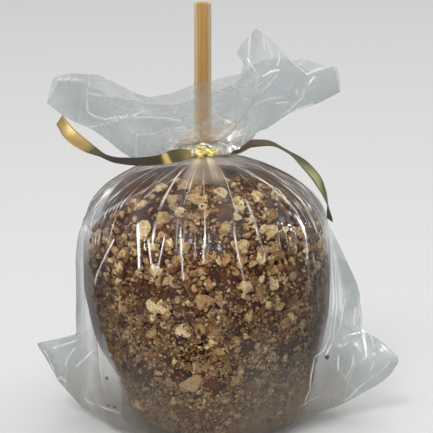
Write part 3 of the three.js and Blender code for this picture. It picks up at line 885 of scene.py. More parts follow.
MOUTH_FOLDS = [
    # left-hand lobe
    [0.7, 0.7, -55, 129.4, -49.4, 129.3, -44.3, 129.1],
    [0.3, 0.4, -43.8, 128.5, -44.3, 124, -45.6, 116.8, -45.9, 113.3],
    [0.6, 0.5, -42.3, 128.3, -42.8, 124.9, -43.1, 119.9, -42.7, 116.8, -40.3, 115.3, -36.4, 114, -32.4,
     114.8, -27.7, 115.8], [0.7, 0.6, -42.3, 124, -39.3, 123.3, -31.9, 122.9],
    [0.4, 0.4, -42.3, 111, -36.4, 112.3, -29.4, 114.8, -22, 117.1],
    [0.4, 0.4, -25.4, 115, -19.5, 115, -14.5, 114.3, -8.1, 113.3],
    [-0.4, 0.5, -24.5, 108.2, -18, 108.7, -12.5, 110.2, -7.1, 111.2],
    [0.3, 0.35, -24.6, 108.2, -24.6, 98.3], [0.4, 0.5, -10.5, 116.8, -9, 119.9, -6.1, 122.9, -3.3, 126],
    [0.6, 0.6, -7.5, 111.2, -4.6, 109.7, -1.6, 107.7, -0.1, 104.6],
    [0.5, 0.5, -13.7, 101.2, -10, 103.8, -7.1, 105.4, -4.1, 107.6],
    # right-hand lobe
    [0.7, 0.45, 20.1, 148.5, 24.9, 145.2, 28.6, 140.7, 33.4, 135.8, 38.2, 131.7],
    [0.9, 0.7, 38.6, 131.5, 42.6, 132.9, 47.4, 134.3], [0.8, 0.6, 22.5, 146.1, 22.9, 140.3],
    [0.5, 0.4, 23.3, 145.7, 25.7, 137.8], [0.7, 0.5, 28.2, 139.9, 28.3, 137, 27.7, 134.6],
    [0.9, 0.8, 22.1, 130.4, 24.9, 132.1, 28.3, 132.9], [0.5, 0.4, 16.5, 137, 18.9, 132.9, 20.9, 130],
    [0.35, 0.4, 19.7, 130.4, 20.1, 124.3], [0.5, 0.4, 5.6, 129.2, 9.6, 127.6, 14.5, 124.7],
    [0.6, 0.45, 2.6, 128.4, 5.6, 124.7, 8.5, 123.9, 13.7, 123.5], [0.5, 0.4, 6, 129.2, 5.6, 125.1],
    [0.5, 0.4, 14.5, 121.4, 16.5, 121.8], [0.8, 0.7, 41.4, 130.4, 39, 127.6],
    [0.7, 0.7, 34.6, 125.1, 34.8, 123.9], [0.4, 0.4, 37.4, 125.5, 37, 122.2, 35, 120.6, 31.4, 116.5],
    [0.5, 0.5, 27.3, 120.2, 31.4, 120.6], [0.5, 0.5, 30.2, 114.4, 35.4, 118.1, 40.6, 119.8],
    [0.6, 0.6, 5.2, 115.6, 7.6, 114, 11.3, 112.8], [0.6, 0.7, 12.1, 110.7, 9.2, 107, 8.5, 104.5],
    [0.5, 0.4, 13.3, 101.6, 16.9, 103.7],
]
print("folds of body and mouth:", len(BODY_FOLDS), len(MOUTH_FOLDS))


def fold_lines(points, folds):
    """Height and whiteness of each point, from its distance to every fold in the front view; the whiteness is
    partly pale crease, partly painted highlight.
    """
    seen = front_view(points)
    uneven = 0.75 + 0.45 * noise(points, 8, 71)
    height, white = np.zeros(seen.shape[:-1]), np.zeros(seen.shape[:-1])
    for depth, half_width, *corners in folds:
        corners = np.array(corners, float).reshape(-1, 2)
        distance = np.full(height.shape, np.inf)
        for start, edge in zip(corners[:-1], np.diff(corners, axis=0)):
            share = np.clip(((seen - start) @ edge) / (edge @ edge), 0, 1)
            distance = np.minimum(distance, np.linalg.norm(seen - start - share[..., None] * edge, axis=-1))
        height += depth * uneven * np.exp(-distance / half_width)
        line = np.exp(-(distance / (0.55 * half_width)) ** 2)
        white = np.maximum(white, min(1, 2.2 * abs(depth)) * uneven * line)
    return height, np.clip(white, 0, 1)


# %% Outline of the body
def body_middle(height):
    """Sideways place of the bag's middle at this height: none at the base and at the neck."""
    return BAG_OFFSET * np.sin(np.pi * height / BODY_TOP)


def flattening(height):
    """Depth of the bag as a share of its width: least at its oval base, and 1 from ROUND_HEIGHT up."""
    base_share = BASE_HALF_DEPTH / BASE_HALF_WIDTH
    return base_share + (1 - base_share) * np.minimum(1, height / ROUND_HEIGHT)


def oval(middle, radius, angle, height):
    """Point of the bag's cross-section at this height, as deep for its width as flattening says."""
    x, y = middle + radius * np.cos(angle), radius * np.sin(angle) * flattening(height)
    return np.stack([x, y, height], -1)


def body_radius(angle, height):
    """Distance of the film from the apple's middle: the hug outline, or the line to the nearer side fold."""
    hug = smooth_curve(HUG_OUTLINE, height)
    right = np.abs(turned(angle)) < np.pi / 2
    reach = np.where(right, smooth_curve(RIGHT_FOLD, height) - body_middle(height),
                     smooth_curve(LEFT_FOLD, height) + body_middle(height))
    reach = np.maximum(reach, hug + 0.01)
    from_fold = np.where(right, np.abs(turned(angle)), np.pi - np.abs(turned(angle)))
    tangent_angle = np.arccos(hug / reach)
    inside = (from_fold < tangent_angle) & (height < FOLD_TOP)
    taut = (hug / np.cos(np.where(inside, tangent_angle - from_fold, 0)) - hug) / (reach - hug)
    return hug + np.where(inside, (reach - hug) * np.clip(taut, 0, 1) ** SIDE_FOLD_PINCH, 0)


# %% Gathers, creases and slack of the body
def shoulder_streaks(angle, height, rough, at_side):
    """Whiteness of the pleats that fan out of the tie, pale creases with painted highlights: noise in rays,
    broad all round, finer at the sides.
    """
    fan = smooth_step(0.62, 0.97, crumple(along_rays(angle, height, 13, 0.035), 1, 34))
    fan = fan * smooth_step(66, 84, height) * smooth_step(101, 97, height)
    broad = 0.9 * fan * np.clip(0.75 + 0.9 * noise(rough, 6, 35), 0, 1)
    rays = along_rays(angle, height, 30, 0.05, 0.5 * noise(rough, 9, 36))
    fine = smooth_step(0.55, 0.95, crumple(rays, 1, 37)) * smooth_step(62, 76, height)
    fine = fine * smooth_step(97, 90, height)
    return np.maximum(broad, 1.2 * at_side * fine * np.clip(0.7 + 1.2 * noise(rough, 5, 38), 0, 1))


def body_surface(angle, height):
    """Point of the film between base and neck, and its whiteness of pale creases and painted highlights.

    Its radius is the outline's, plus waves for the gathers and the slack, sharp ridges for the pleats and
    folds, and flat facets and noise for the wrinkles.
    """
    radius = body_radius(angle, height)
    shoulder = smooth_curve([[0, 0], [6, 0.3], [62, 0.25], [80, 0.8], [92, 1], [98.5, 0.4], [101.5, 0]],
                            height)
    gathers = 0.45 * np.sin(17 * angle + 0.6) + 0.35 * np.sin(11 * angle + 2.1) + 0.2 * np.sin(26 * angle)
    slack = np.sin(7 * angle + 0.9 + height * 0.07) * 0.5
    slack = slack * smooth_curve([[0, 0], [8, 1], [34, 1], [50, 0], [60, 0]], height)
    ends = smooth_step(0.5, 8, height) * smooth_step(101.5, 97, height)
    pleats = crease_height(angle, height, fan_creases() + wall_creases(), radius) * ends
    rough = oval(body_middle(height), radius, angle, height)
    ridge, white = fold_lines(rough, BODY_FOLDS)
    front = smooth_step(3, 0, rough[..., 1])
    facets, creases = folded(rough, 11, 31)
    stiff = 1.1 * smooth_step(47.5, 56, radius) + 0.7 * smooth_step(34, 18, height)
    wrinkle = (0.65 * facets + 0.08 * crumple(rough, 5, 32)) * stiff
    upright = noise(rough * [1, 1, 0.12], 4.5, 33)
    wrinkle = wrinkle + 0.25 * upright * smooth_step(49, 46.5, radius) * smooth_step(20, 40, height)
    radius = radius + gathers * shoulder + slack + pleats + (ridge * front * 0.8 + wrinkle) * ends
    creased = creases * np.clip(0.2 * stiff + 0.6 * smooth_step(49, 56, radius), 0, 1)
    at_side = smooth_step(0.80, 0.55, np.abs(rough[..., 1]) / np.maximum(radius, 1))
    streaks = shoulder_streaks(angle, height, rough, at_side)
    white = np.clip(white * front + streaks + creased, 0, 1) * ends
    return oval(body_middle(height), radius, angle, height), white


def film_heights(count):
    """Heights of the grid rows, evenly spaced along the film, so closer together where its outline turns."""
    fine = np.linspace(0, BODY_TOP, 4000)
    steps = np.hypot(np.diff(fine), np.diff(smooth_curve(HUG_OUTLINE, fine)))
    for fold in (RIGHT_FOLD, LEFT_FOLD):
        steps += 0.4 * np.abs(np.diff(smooth_curve(fold, fine)))
    length = np.concatenate([[0], np.cumsum(steps)])
    return np.interp(np.linspace(0, length[-1], count), length, fine)


# %% Where the body film is milky, hugs the apple and is tinted, with painted highlights, reflection and shading
def body_looks(points, white):
    """Haze, hug (a painted reflection of the apple), white (pale creases and painted highlights), warmth and
    painted shading of each point; each is built from soft-edged regions of the bag.
    """
    x, y, height = points.T
    angle, core_distance, radius = np.arctan2(y, x), np.hypot(x, y), np.hypot(x - BAG_OFFSET, y)
    front_share = np.abs(y) / np.maximum(radius, 1)  # 0 at both sides, 1 in front and behind
    cloud = 1 + 0.6 * layered_noise(points, 9, 4, 81)
    rays = 0.5 + 0.5 * np.clip(2.2 * noise(along_rays(angle, height, 9, 0.03), 1, 84), -1, 1)
    # regions, each from 0 outside to 1 inside
    right = smooth_step(4, 24, x)
    near_side = smooth_step(0.75, 0.3, front_share)
    wing = smooth_step(46, 49, radius) * smooth_step(82, 64, height)
    low_front = smooth_step(42 + 14 * near_side + 14 * right, 4, height) * (1 - wing) * (1 + 0.3 * right)
    left_strip = smooth_step(-44.2, -45.4, x) * smooth_step(27, 34, height)
    near_tie = smooth_step(20, 7, core_distance) * smooth_step(86, 94, height)
    gathered = smooth_step(0.5, 0.1, np.abs(turned(angle + 0.5 * np.pi)))
    gathered = gathered * smooth_step(30, 20, core_distance) * smooth_step(90, 95, height)
    apple_side = smooth_step(62, 42, radius)
    corner = right * smooth_step(50, 60, radius) * smooth_step(42, 16, height)
    # milky on the wings and low down, in a thin veil towards the sides, and most of all at the tie
    haze = 0.58 * wing * cloud + 0.60 * low_front * np.clip(cloud, 0.85, 1.05)
    haze = haze + (0.2 - 0.1 * right) * near_side * smooth_step(64, 80, height) + 0.3 * left_strip
    veil = 0.14 * smooth_step(26, 40, x) + 0.07 * smooth_step(-22, -38, x)
    haze = haze + veil * (1 - wing) * smooth_step(34, 50, height)
    haze = haze + (0.15 + 0.27 * rays) * smooth_step(68, 92, height)
    haze = np.clip(haze + 0.95 * np.maximum(near_tie, 0.9 * gathered), 0, 1)
    haze = np.clip(haze + 0.45 * wing * smooth_step(30, 12, height), 0, 1)
    haze = np.clip(haze + 0.25 * smooth_step(50, 66, radius) * cloud, 0, 1)
    # painted reflection: dark edges where the film lies edge-on on the apple stand in for the apple seen in
    # it, less so on the left shoulder; the left-hand wing gets a little painted darkening too
    hug = np.maximum(smooth_step(0.35, 0.6, front_share), smooth_step(72, 82, height))
    hug = hug * smooth_step(50.5 + 2.5 * right, 47.5 + 2 * right, radius)
    hug = hug * smooth_step(4, 22, height) * (1 - near_tie)
    hug = hug * (1 - (0.5 - 0.4 * right) * smooth_step(64, 76, height))
    hug = np.maximum(hug, 0.35 * wing * (x < 0) * smooth_step(32, 44, height))
    # the gathered film at the tie is pale and gets painted light besides; the lower right-hand corner gets
    # painted light
    white = np.maximum(white, (0.7 * near_tie + 0.5 * gathered) * (0.55 + 0.6 * rays))
    white = np.maximum(white, np.clip(0.3 * corner * cloud, 0, 1))
    warmth = np.maximum(smooth_step(80, 99, height), 0.8 * smooth_step(38, 12, height) * apple_side)
    # painted shading: the milk of the whole body film is dimmed, except in the lower right-hand corner away
    # from the apple
    painted_shading = 0.42 * (1 - right * (1 - apple_side) * smooth_step(40, 16, height))
    return {"haze": haze, "hug": hug, "white": white, "warmth": warmth, "painted_shading": painted_shading}


# %% Body film
BODY_ROWS, BASE_ROWS = 116, 6
height_grid, angle_grid = np.meshgrid(film_heights(BODY_ROWS), film_angles, indexing="ij")
body_points, body_white = body_surface(angle_grid, height_grid)
base_share = np.linspace(0.04, 1, BASE_ROWS, endpoint=False)[:, None, None]
film_points = np.concatenate([body_points[:1] * base_share, body_points])
film_points = np.vstack([film_points.reshape(-1, 3), [0, 0, 0]])
film_faces = [grid_faces(BASE_ROWS + BODY_ROWS, FILM_COLUMNS),
              pole_faces(0, FILM_COLUMNS, len(film_points) - 1)]
film_white = np.concatenate([np.zeros(BASE_ROWS * FILM_COLUMNS), body_white.ravel(), [0]])
film_looks = body_looks(film_points, film_white)
bag_body = make_piece("bag_body_film", film_points, film_faces, attributes=film_looks)
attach(bag_body, "root")
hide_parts("bag")

# %% [markdown]
# At both sides the bag has a gusset: between front and back, the film is folded inwards and hugs the apple,
# while the outer fold stands off as a flat wing. Seen edge-on this inner film is the smooth dark band along
# both sides of the apple; its darkness is a painted reflection of the apple on what shows through, with
# painted shading on its milk. Each gusset is a curved strip that starts and ends on the outer film.

# %% Side gussets
GUSSET_OUTLINE = [  # [height, x of the left gusset, x of the right gusset]
    [0.4, -31.0, 37.0], [8, -31.0, 40.2], [15.8, -32.2, 41.6], [20, -34.2, 42.4], [24, -36.4, 43.4],
    [29, -39.0, 44.8], [35, -41.2, 46.0], [43, -43.0, 47.2], [53, -44.4, 47.5], [66, -44.4, 47.3],
    [76, -43.0, 45.6], [80, -41.6, 44.0],
]
GUSSET_REACH = 1.30  # the strips end this far from the side, in radians
GUSSET_ROWS, GUSSET_COLUMNS = 120, 120
FILM_GAP = 0.35  # the strips' ends lie this far inside the outer film


def gusset_surface(side, turn, height):
    """Point of a gusset: on an oval through the outline, and at its ends just inside the outer film."""
    table = np.array(GUSSET_OUTLINE)
    left, right = smooth_curve(table[:, :2], height), smooth_curve(table[:, [0, 2]], height)
    angle = turn if side > 0 else np.pi - turn
    outer = oval(body_middle(height), smooth_curve(HUG_OUTLINE, height) - FILM_GAP, angle, height)
    inner = oval(0.5 * (left + right), 0.5 * (right - left), angle, height)
    inward = smooth_step(GUSSET_REACH, 0.75, np.abs(turn)) * smooth_step(82, 76, height)
    return outer + (inner - outer) * inward[..., None]


gusset_points, gusset_faces = [], []
turn, height = np.meshgrid(np.linspace(-GUSSET_REACH, GUSSET_REACH, GUSSET_COLUMNS),
                           np.linspace(0.4, 81, GUSSET_ROWS))
faces = grid_faces(GUSSET_ROWS, GUSSET_COLUMNS, around=False)
for side in (-1, 1):
    points = gusset_surface(side, turn, height)
    wave = 0.18 * noise(points * [1, 1, 0.25], 5, 51) + 0.10 * noise(points * [1, 1, 0.2], 2, 52)
    gusset_points.append((points * (1 + wave[..., None] / 45 * [1, 1, 0])).reshape(-1, 3))
    gusset_faces.append(faces if side > 0 else faces[:, ::-1])
gusset_faces[1] = gusset_faces[1] + len(gusset_points[0])
gusset_points = np.vstack(gusset_points)
gusset_height, zero = gusset_points[:, 2], np.zeros(len(gusset_points))
# painted shading on the milk, and a painted reflection of the apple (hug), strongest at mid height
bag_gussets = make_piece("bag_gusset_film", gusset_points, [np.vstack(gusset_faces)], attributes={
    "haze": 0.25 * smooth_step(46, 10, gusset_height), "white": zero, "warmth": zero + 1, "painted_shading": zero + 0.7,
    "hug": 0.1 + 0.8 * smooth_step(12, 46, gusset_height) * smooth_step(74, 58, gusset_height)})
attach(bag_gussets, "root")
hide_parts("bag")

# %% [markdown]
# Above the tie the film opens again into a wide wavy mouth. Each column of the grid leaves the neck, passes
# a waist and ends on the rim, as in the CAD model, and the crumple of stiff film is added on top: large
# flat facets with sharp folds between them, and finer ones near the neck where it has been squeezed.


# %% Shape of the open mouth
def folded_curve(keys, around, sharpness=0.65):
    """A closed curve between straight lines (sharpness 1) and smooth arcs (0), so each key is a soft fold."""
    keys, k, t = between_keys(keys, around)
    straight = keys[k] * (1 - t) + keys[(k + 1) % len(keys)] * t
    return sharpness * straight + (1 - sharpness) * closed_curve(keys, around)


def lift(reach, middle, half_width):
    """A round hill or hollow at this distance from the stick: e to the power of minus a square."""
    return np.exp(-((reach - middle) / half_width) ** 2)


def mouth_surface(angle, t):
    """Point of the mouth: a parabola through the neck (t = 0), the waist and the rim (t = 1) at each angle.

    Added to its height are fine pleats, and a hill and a hollow in each of the two lobes.
    """
    around, waist_share = angle / (2 * np.pi), MOUTH_WAIST_SHARE
    waist_keys = [[waist_x[0] if waist_x else x * waist_share, y * waist_share, height]
                  for x, y, _, height, *waist_x in MOUTH_RIM]
    rim, waist = folded_curve([key[:3] for key in MOUTH_RIM], around), folded_curve(waist_keys, around, 0.5)
    neck = on_circle(MOUTH_NECK_RADIUS, angle, NECK_TOP)
    from_neck = ((t - waist_share) * (t - 1) / waist_share)[..., None]
    from_waist = (t * (t - 1) / (waist_share * (waist_share - 1)))[..., None]
    from_rim = (t * (t - waist_share) / (1 - waist_share))[..., None]
    point = neck * from_neck + waist * from_waist + rim * from_rim
    pleat = 0.6 * np.sin(19 * angle + 5 * t) + 0.4 * np.sin(31 * angle - 7 * t)
    point[..., 2] += 0.7 * pleat * t * (1 - 0.35 * t)
    reach, side = np.hypot(point[..., 0], point[..., 1]), np.cos(angle) ** 4
    left = 2.2 * lift(reach, 39, 8) - 3.0 * lift(reach, 22, 7)
    right = 2.2 * lift(reach, 33, 8) - 2.4 * lift(reach, 14, 4)
    point[..., 2] += side * np.where(np.cos(angle) < 0, left, right)
    return point


def mouth_gathers(angle, share, count=48):
    """Narrow ridges of random height that leave the neck all round and fade out halfway up the mouth."""
    draw = np.random.default_rng(23)
    middle = np.arange(count) * 2 * np.pi / count + draw.uniform(-0.05, 0.05, count)
    creases = [(place, 0.5, -0.6, depth, half_width, 0.0) for place, depth, half_width in
               zip(middle, draw.uniform(-0.9, 0.9, count), draw.uniform(0.03, 0.06, count))]
    gathers = crease_height(angle, share, creases, np.ones_like(share))
    return gathers * smooth_step(0, 0.06, share) * smooth_step(0.55, 0.1, share)


def surface_normals(points):
    """Unit normals of a closed-around grid, from the differences between its neighbours."""
    around = np.roll(points, -1, 1) - np.roll(points, 1, 1)
    return unit_rows(np.cross(around, np.gradient(points, axis=0)))


def crumpled_mouth(angle, share):
    """Points of the mouth, pushed out by facets, folds, crush and gathers, and how they look."""
    smooth = mouth_surface(angle, share)
    ridge, white = fold_lines(smooth, MOUTH_FOLDS)
    facets, creases = folded(smooth, 12, 41)
    small_facets, small_creases = folded(smooth, 5, 42)
    gathers = mouth_gathers(angle, share)
    near_neck = smooth_step(34, 8, np.linalg.norm(smooth - [0, 0, NECK_TOP], axis=-1))
    crush = (0.75 * crumple(smooth, 4.2, 43) + 0.35 * crumple(smooth, 1.9, 44)) * near_neck
    push = (0.9 * facets + 0.3 * small_facets) * 0.8 + ridge * 0.7 + crush
    points = smooth + surface_normals(smooth) * (push * smooth_step(0.0, 0.12, share) + gathers)[..., None]
    # the squeezed film near the neck is pale and gets painted light besides, and its crush crinkles get
    # painted highlights
    white = white + 0.5 * near_neck + 0.7 * smooth_step(0.5, 0.9, np.abs(crush) + 0.3 * np.abs(gathers))
    white = np.maximum(np.clip(white, 0, 1), 0.45 * creases + 0.15 * small_creases)
    near_stick = smooth_step(21, 5, np.hypot(smooth[..., 0], smooth[..., 1]))
    warmth = np.clip(near_stick + 0.3 * layered_noise(smooth, 13, 3, 83), 0, 1)
    haze = 0.72 * (1 + 0.5 * layered_noise(points, 11, 4, 82)) + 0.35 * near_neck
    haze = np.clip(haze - 0.2 * np.exp(-(points[..., 0] / 6) ** 2), 0, 1)
    return points, haze, white, warmth


# %% The ruffle over the tie
RUFFLE = np.array([  # [degrees, reach, drop] of the squeezed film over the ribbon; short at the knot
    [0, 14.0, 1.2], [30, 12, 1.3], [70, 9, 1.2], [150, 9, 1.2], [185, 9.5, 1.5], [215, 10.5, 2.2],
    [235, 11, 3.0], [247, 11, 3.4], [256, 9.5, 2.8], [262, 7.0, 0.2], [284, 7.0, 0.2], [291, 8.5, 2.8],
    [305, 10, 3.4], [330, 12, 2.8], [350, 13.8, 1.7], [360, 14.0, 1.2],
], float)
RUFFLE_START = 5.5
RUFFLE_ROWS, RUFFLE_COLUMNS = 24, 400


def ruffle_surface(angle, t):
    """Point of the ruffle: a quarter sine out of the neck to its reach, a low arch, then down by its drop.

    Below t = 0 it goes the other way, down into the neck as far as the stick.
    """
    inwards, t = np.minimum(t, 0), np.maximum(t, 0)
    degrees = np.degrees(angle) % 360
    reach, drop = smooth_curve(RUFFLE[:, [0, 1]], degrees), smooth_curve(RUFFLE[:, [0, 2]], degrees)
    radius = RUFFLE_START + (reach - RUFFLE_START) * np.sin(0.5 * np.pi * t) ** 0.9 + 9.5 * inwards
    height = NECK_TOP - 0.6 + 0.9 * np.sin(np.pi * t) - drop * t ** 2 + 6 * inwards
    point = on_circle(radius, angle, height)
    pleats = crumple(on_circle(9, angle, 0.8 * t), 2.2, 45)
    point[..., 2] += (0.16 * pleats + 0.14 * crumple(point, 1.4, 46)) * smooth_step(0, 0.5, t)
    point[..., :2] *= (1 + 0.05 * noise(point, 2.5, 47) * smooth_step(0, 0.5, t))[..., None]
    return point


# %% Mouth film
MOUTH_ROWS, NECK_ROWS = 100, 8
share_grid, mouth_angles = np.meshgrid(np.linspace(0, 1, MOUTH_ROWS), film_angles, indexing="ij")
mouth_points, mouth_haze, mouth_white, mouth_warmth = crumpled_mouth(mouth_angles, share_grid)
neck_points = on_circle(np.linspace(NECK_RADIUS, MOUTH_NECK_RADIUS, NECK_ROWS)[:, None], film_angles,
                        np.linspace(BODY_TOP, NECK_TOP - 0.3, NECK_ROWS)[:, None])
ruffle_share, ruffle_angles = np.meshgrid(np.linspace(-0.24, 1, RUFFLE_ROWS), full_turn(RUFFLE_COLUMNS),
                                          indexing="ij")
ruffle_points = ruffle_surface(ruffle_angles, ruffle_share).reshape(-1, 3)
# pale crinkled film, with painted highlights on its crinkles
ruffle_white = 0.4 + 0.4 * smooth_step(0.3, 0.9, crumple(ruffle_points, 1.6, 48))
film_rows = NECK_ROWS + MOUTH_ROWS
film_sizes = [NECK_ROWS * FILM_COLUMNS, MOUTH_ROWS * FILM_COLUMNS, len(ruffle_points)]


def over_mouth(*values):
    """One number per point of neck, mouth and ruffle; each of the three values is an array or a number."""
    return np.concatenate([np.broadcast_to(np.ravel(value), size) for value, size in zip(values, film_sizes)])


all_points = np.vstack([neck_points.reshape(-1, 3), mouth_points.reshape(-1, 3), ruffle_points])
# painted shading: darker on the neck and on the mouth's left and middle than on its right, and less on the
# ruffle
left_painted_shading = 0.4 + 0.3 * smooth_step(14, -6, all_points[:, 0])
bag_mouth = make_piece("bag_mouth_film", all_points, [
    grid_faces(film_rows, FILM_COLUMNS),
    grid_faces(RUFFLE_ROWS, RUFFLE_COLUMNS) + film_rows * FILM_COLUMNS], attributes={
        "haze": over_mouth(1, mouth_haze, 0.9), "white": over_mouth(0, mouth_white, ruffle_white),
        "warmth": over_mouth(1, mouth_warmth, 0.5), "hug": over_mouth(0, 0, 0),
        "painted_shading": over_mouth(1, 1, 0.3) * left_painted_shading})
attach(bag_mouth, "root")
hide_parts("bag")

# %% [markdown]
# Clear film lets most light through when looked at straight on and turns into a mirror at a grazing angle.
# Glass with a real thickness would be slow and would bend the view, so the film is one thin sheet: a
# transparent shader, mixed with gloss by the fifth power of the angle (Schlick's formula). On top of that
# it is a little milky, and pale along sharp lines, partly where folds have whitened it and partly as painted
# highlights. Where it hugs the apple edge-on, a dark brown tint on what shows through is a painted
# reflection of the apple, and painted shading dims and browns its milk.

# %% Film finish
film = Finish("clear_film")
facing = film.node("LayerWeight", {"Blend": 0.5}).outputs["Facing"]
painted_reflection_mask, milkiness, warm = film.attribute("hug"), film.attribute("haze"), film.attribute("warmth")
edge_on = film.ramp(facing, (0.40, (0, 0, 0)), (0.72, (1, 1, 1)))
through = film.mix(milkiness, (0.985, 0.987, 0.988), (0.74, 0.78, 0.79))
# painted reflection: where the film hugs the apple edge-on, what shows through turns dark brown, standing in
# for the apple seen in the film
through = film.mix(film.maths("MULTIPLY", edge_on, painted_reflection_mask, clamp=True), through, (0.31, 0.272, 0.256))
clear = film.shader("Transparent", Color=through)
# painted shading: the milk is dimmed and browned as far as the mesh says
painted_dimming = film.mix(film.attribute("painted_shading"), (1, 1, 1), (0.62, 0.60, 0.58))
milk_colour = film.mix(warm, linear(212, 219, 220), linear(224, 206, 188))
milk_colour = film.mix(1.0, milk_colour, painted_dimming, "MULTIPLY")
milk = film.blend(0.45, film.shader("Diffuse", Color=milk_colour, Roughness=0.5),
                  film.shader("Translucent", Color=milk_colour))
sheet = film.blend(film.maths("MULTIPLY", milkiness, 0.46, clamp=True), clear, milk)
# pale creases and painted highlights: where the mesh says, the film turns a pale diffuse with a rough white
# gloss
pale_fold_and_highlight_colour = film.mix(warm, (0.92, 0.93, 0.94), linear(226, 204, 180))
pale_fold_and_painted_highlight = film.blend(0.4, film.shader("Diffuse", Color=pale_fold_and_highlight_colour, Roughness=0.5),
                      film.shader("Glossy", Color=(1, 1, 1), Roughness=0.4))
white_share = film.maths("MULTIPLY", film.maths("POWER", film.attribute("white"), 1.6), 0.9, clamp=True)
sheet = film.blend(white_share, sheet, pale_fold_and_painted_highlight)
grazing = film.maths("POWER", facing, 5.0)
grazing = film.maths("MULTIPLY", grazing, film.maths("SUBTRACT", 1.0, film.maths("MULTIPLY", painted_reflection_mask, 0.8)))
mirror_share = film.maths("ADD", film.maths("MULTIPLY", grazing, 0.45), 0.003, clamp=True)
film_bump = film.bump(film.speckle(1.8, 2, 0.5), 0.08, 0.1)
gloss = film.shader("Glossy", Color=(1, 1, 1), Roughness=0.04, Normal=film_bump)
film.paint(film.blend(mirror_share, sheet, gloss), bag_body, bag_gussets, bag_mouth)

# %% [markdown]
# ## Stick
# The stick is a plain wooden dowel. It is turned from an outline like the apple: a straight shaft with a
# slightly rounded end. The grain is long streaks, so its noise is stretched a hundredfold along the stick.

# %% Stick
STICK_RADIUS = 6.35 / 2
STICK_ROUNDING = 0.55  # of the top edge
STICK_COLUMNS = 64
stick_low, stick_high = (np.array(corner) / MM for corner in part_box("stick"))
length = stick_high[2] - stick_low[2]
outline = [(STICK_RADIUS * 0.5, 0.0), (STICK_RADIUS - 0.3, 0.0), (STICK_RADIUS, 0.4)]
outline += [(STICK_RADIUS, height) for height in np.linspace(2, length - 1, 60)]
outline += [(STICK_RADIUS - STICK_ROUNDING * (1 - np.cos(a)), length - STICK_ROUNDING * (1 - np.sin(a)))
            for a in np.linspace(0, np.pi / 2, 7)]
outline += [(STICK_RADIUS * 0.5, length)]
radius, height = np.array(outline).T[..., None]
turn = full_turn(STICK_COLUMNS)
wobble = 1 - 0.008 * (1 + np.sin(height * 0.06 + 2 * turn))
stick_rings = on_circle(radius * wobble, turn, stick_low[2] + height)
stick = make_piece("dowel_stick", *capped_rings(stick_rings, ([0, 0, stick_low[2]], [0, 0, stick_high[2]])))
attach(stick, "root")
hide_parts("stick")

# %% Wood finish
wood = Finish("dowel_wood")
along = wood.node("Mapping", {"Vector": wood.place(), "Scale": (1, 1, 0.012)}).outputs[0]
wood_colour = wood.ramp(wood.speckle(1.1, 4, 0.6, along), (0.30, linear(142, 100, 50)),
                        (0.46, linear(174, 132, 72)), (0.62, linear(192, 152, 92)),
                        (0.74, linear(206, 170, 114)))
fine_streaks = wood.speckle(0.35, 3, 0.6, along)
fine_colour = wood.ramp(fine_streaks, (0.35, (0.6, 0.5, 0.4)), (0.6, (1.1, 1.1, 1.1)))
wood_colour = wood.mix(0.6, wood_colour, fine_colour, "MULTIPLY")
# painted sheen: the stick turns paler towards its left and right sides as seen from the front
sideways = wood.node("SeparateXYZ", {0: wood.place()}).outputs["X"]
sideways = wood.maths("MULTIPLY", wood.maths("ABSOLUTE", sideways), 1 / (STICK_RADIUS * MM))
painted_edge_sheen = wood.ramp(sideways, (0.52, (0, 0, 0)), (0.78, (1, 1, 1)))
wood_colour = wood.mix(painted_edge_sheen, wood_colour, linear(196, 176, 140))
wood.paint(wood.shader("Principled", Base_Color=wood_colour, Roughness=0.6, Specular_IOR_Level=0.15,
                       Normal=wood.bump(fine_streaks, 0.3, 0.15)), stick)

# %% [markdown]
# ## Ribbon
# Curling ribbon is a narrow, stiff, metallic strip. It could be an extruded curve, but a strip that twists
# is easier to steer as a profile carried along a path, with the lean of its width given at each key.

# %% Ribbon
RIBBON_WIDTH = 4.8
RIBBON_THICKNESS = 0.16
LEFT_TAIL = [  # [x, y, z, lean of the width from upright in degrees]
    [-1.5, -8.4, 102.8, 0], [-9, -12.5, 102.2, 30], [-15.2, -15, 101.0, 52], [-22.4, -14.5, 100.3, 62],
    [-29.8, -11.5, 100.2, 74], [-36, -7.5, 101.2, 92], [-43.4, -2.5, 104.2, 55], [-49.8, 3, 108.4, 25],
    [-53.2, 7, 112.4, 10],
]
RIGHT_TAIL = [
    [1.5, -8.4, 102.8, 0], [7.6, -6.2, 102.9, -28], [12, 0, 102.3, -58], [17, 5.5, 103.6, -62],
    [24, 8.5, 103.4, -72], [31.5, 9.5, 100.0, -85], [38.4, 9.5, 94.6, -55], [44.0, 10.5, 87.4, -38],
    [47.2, 12.5, 79.3, -40], [48.2, 14, 72.6, -55],
]


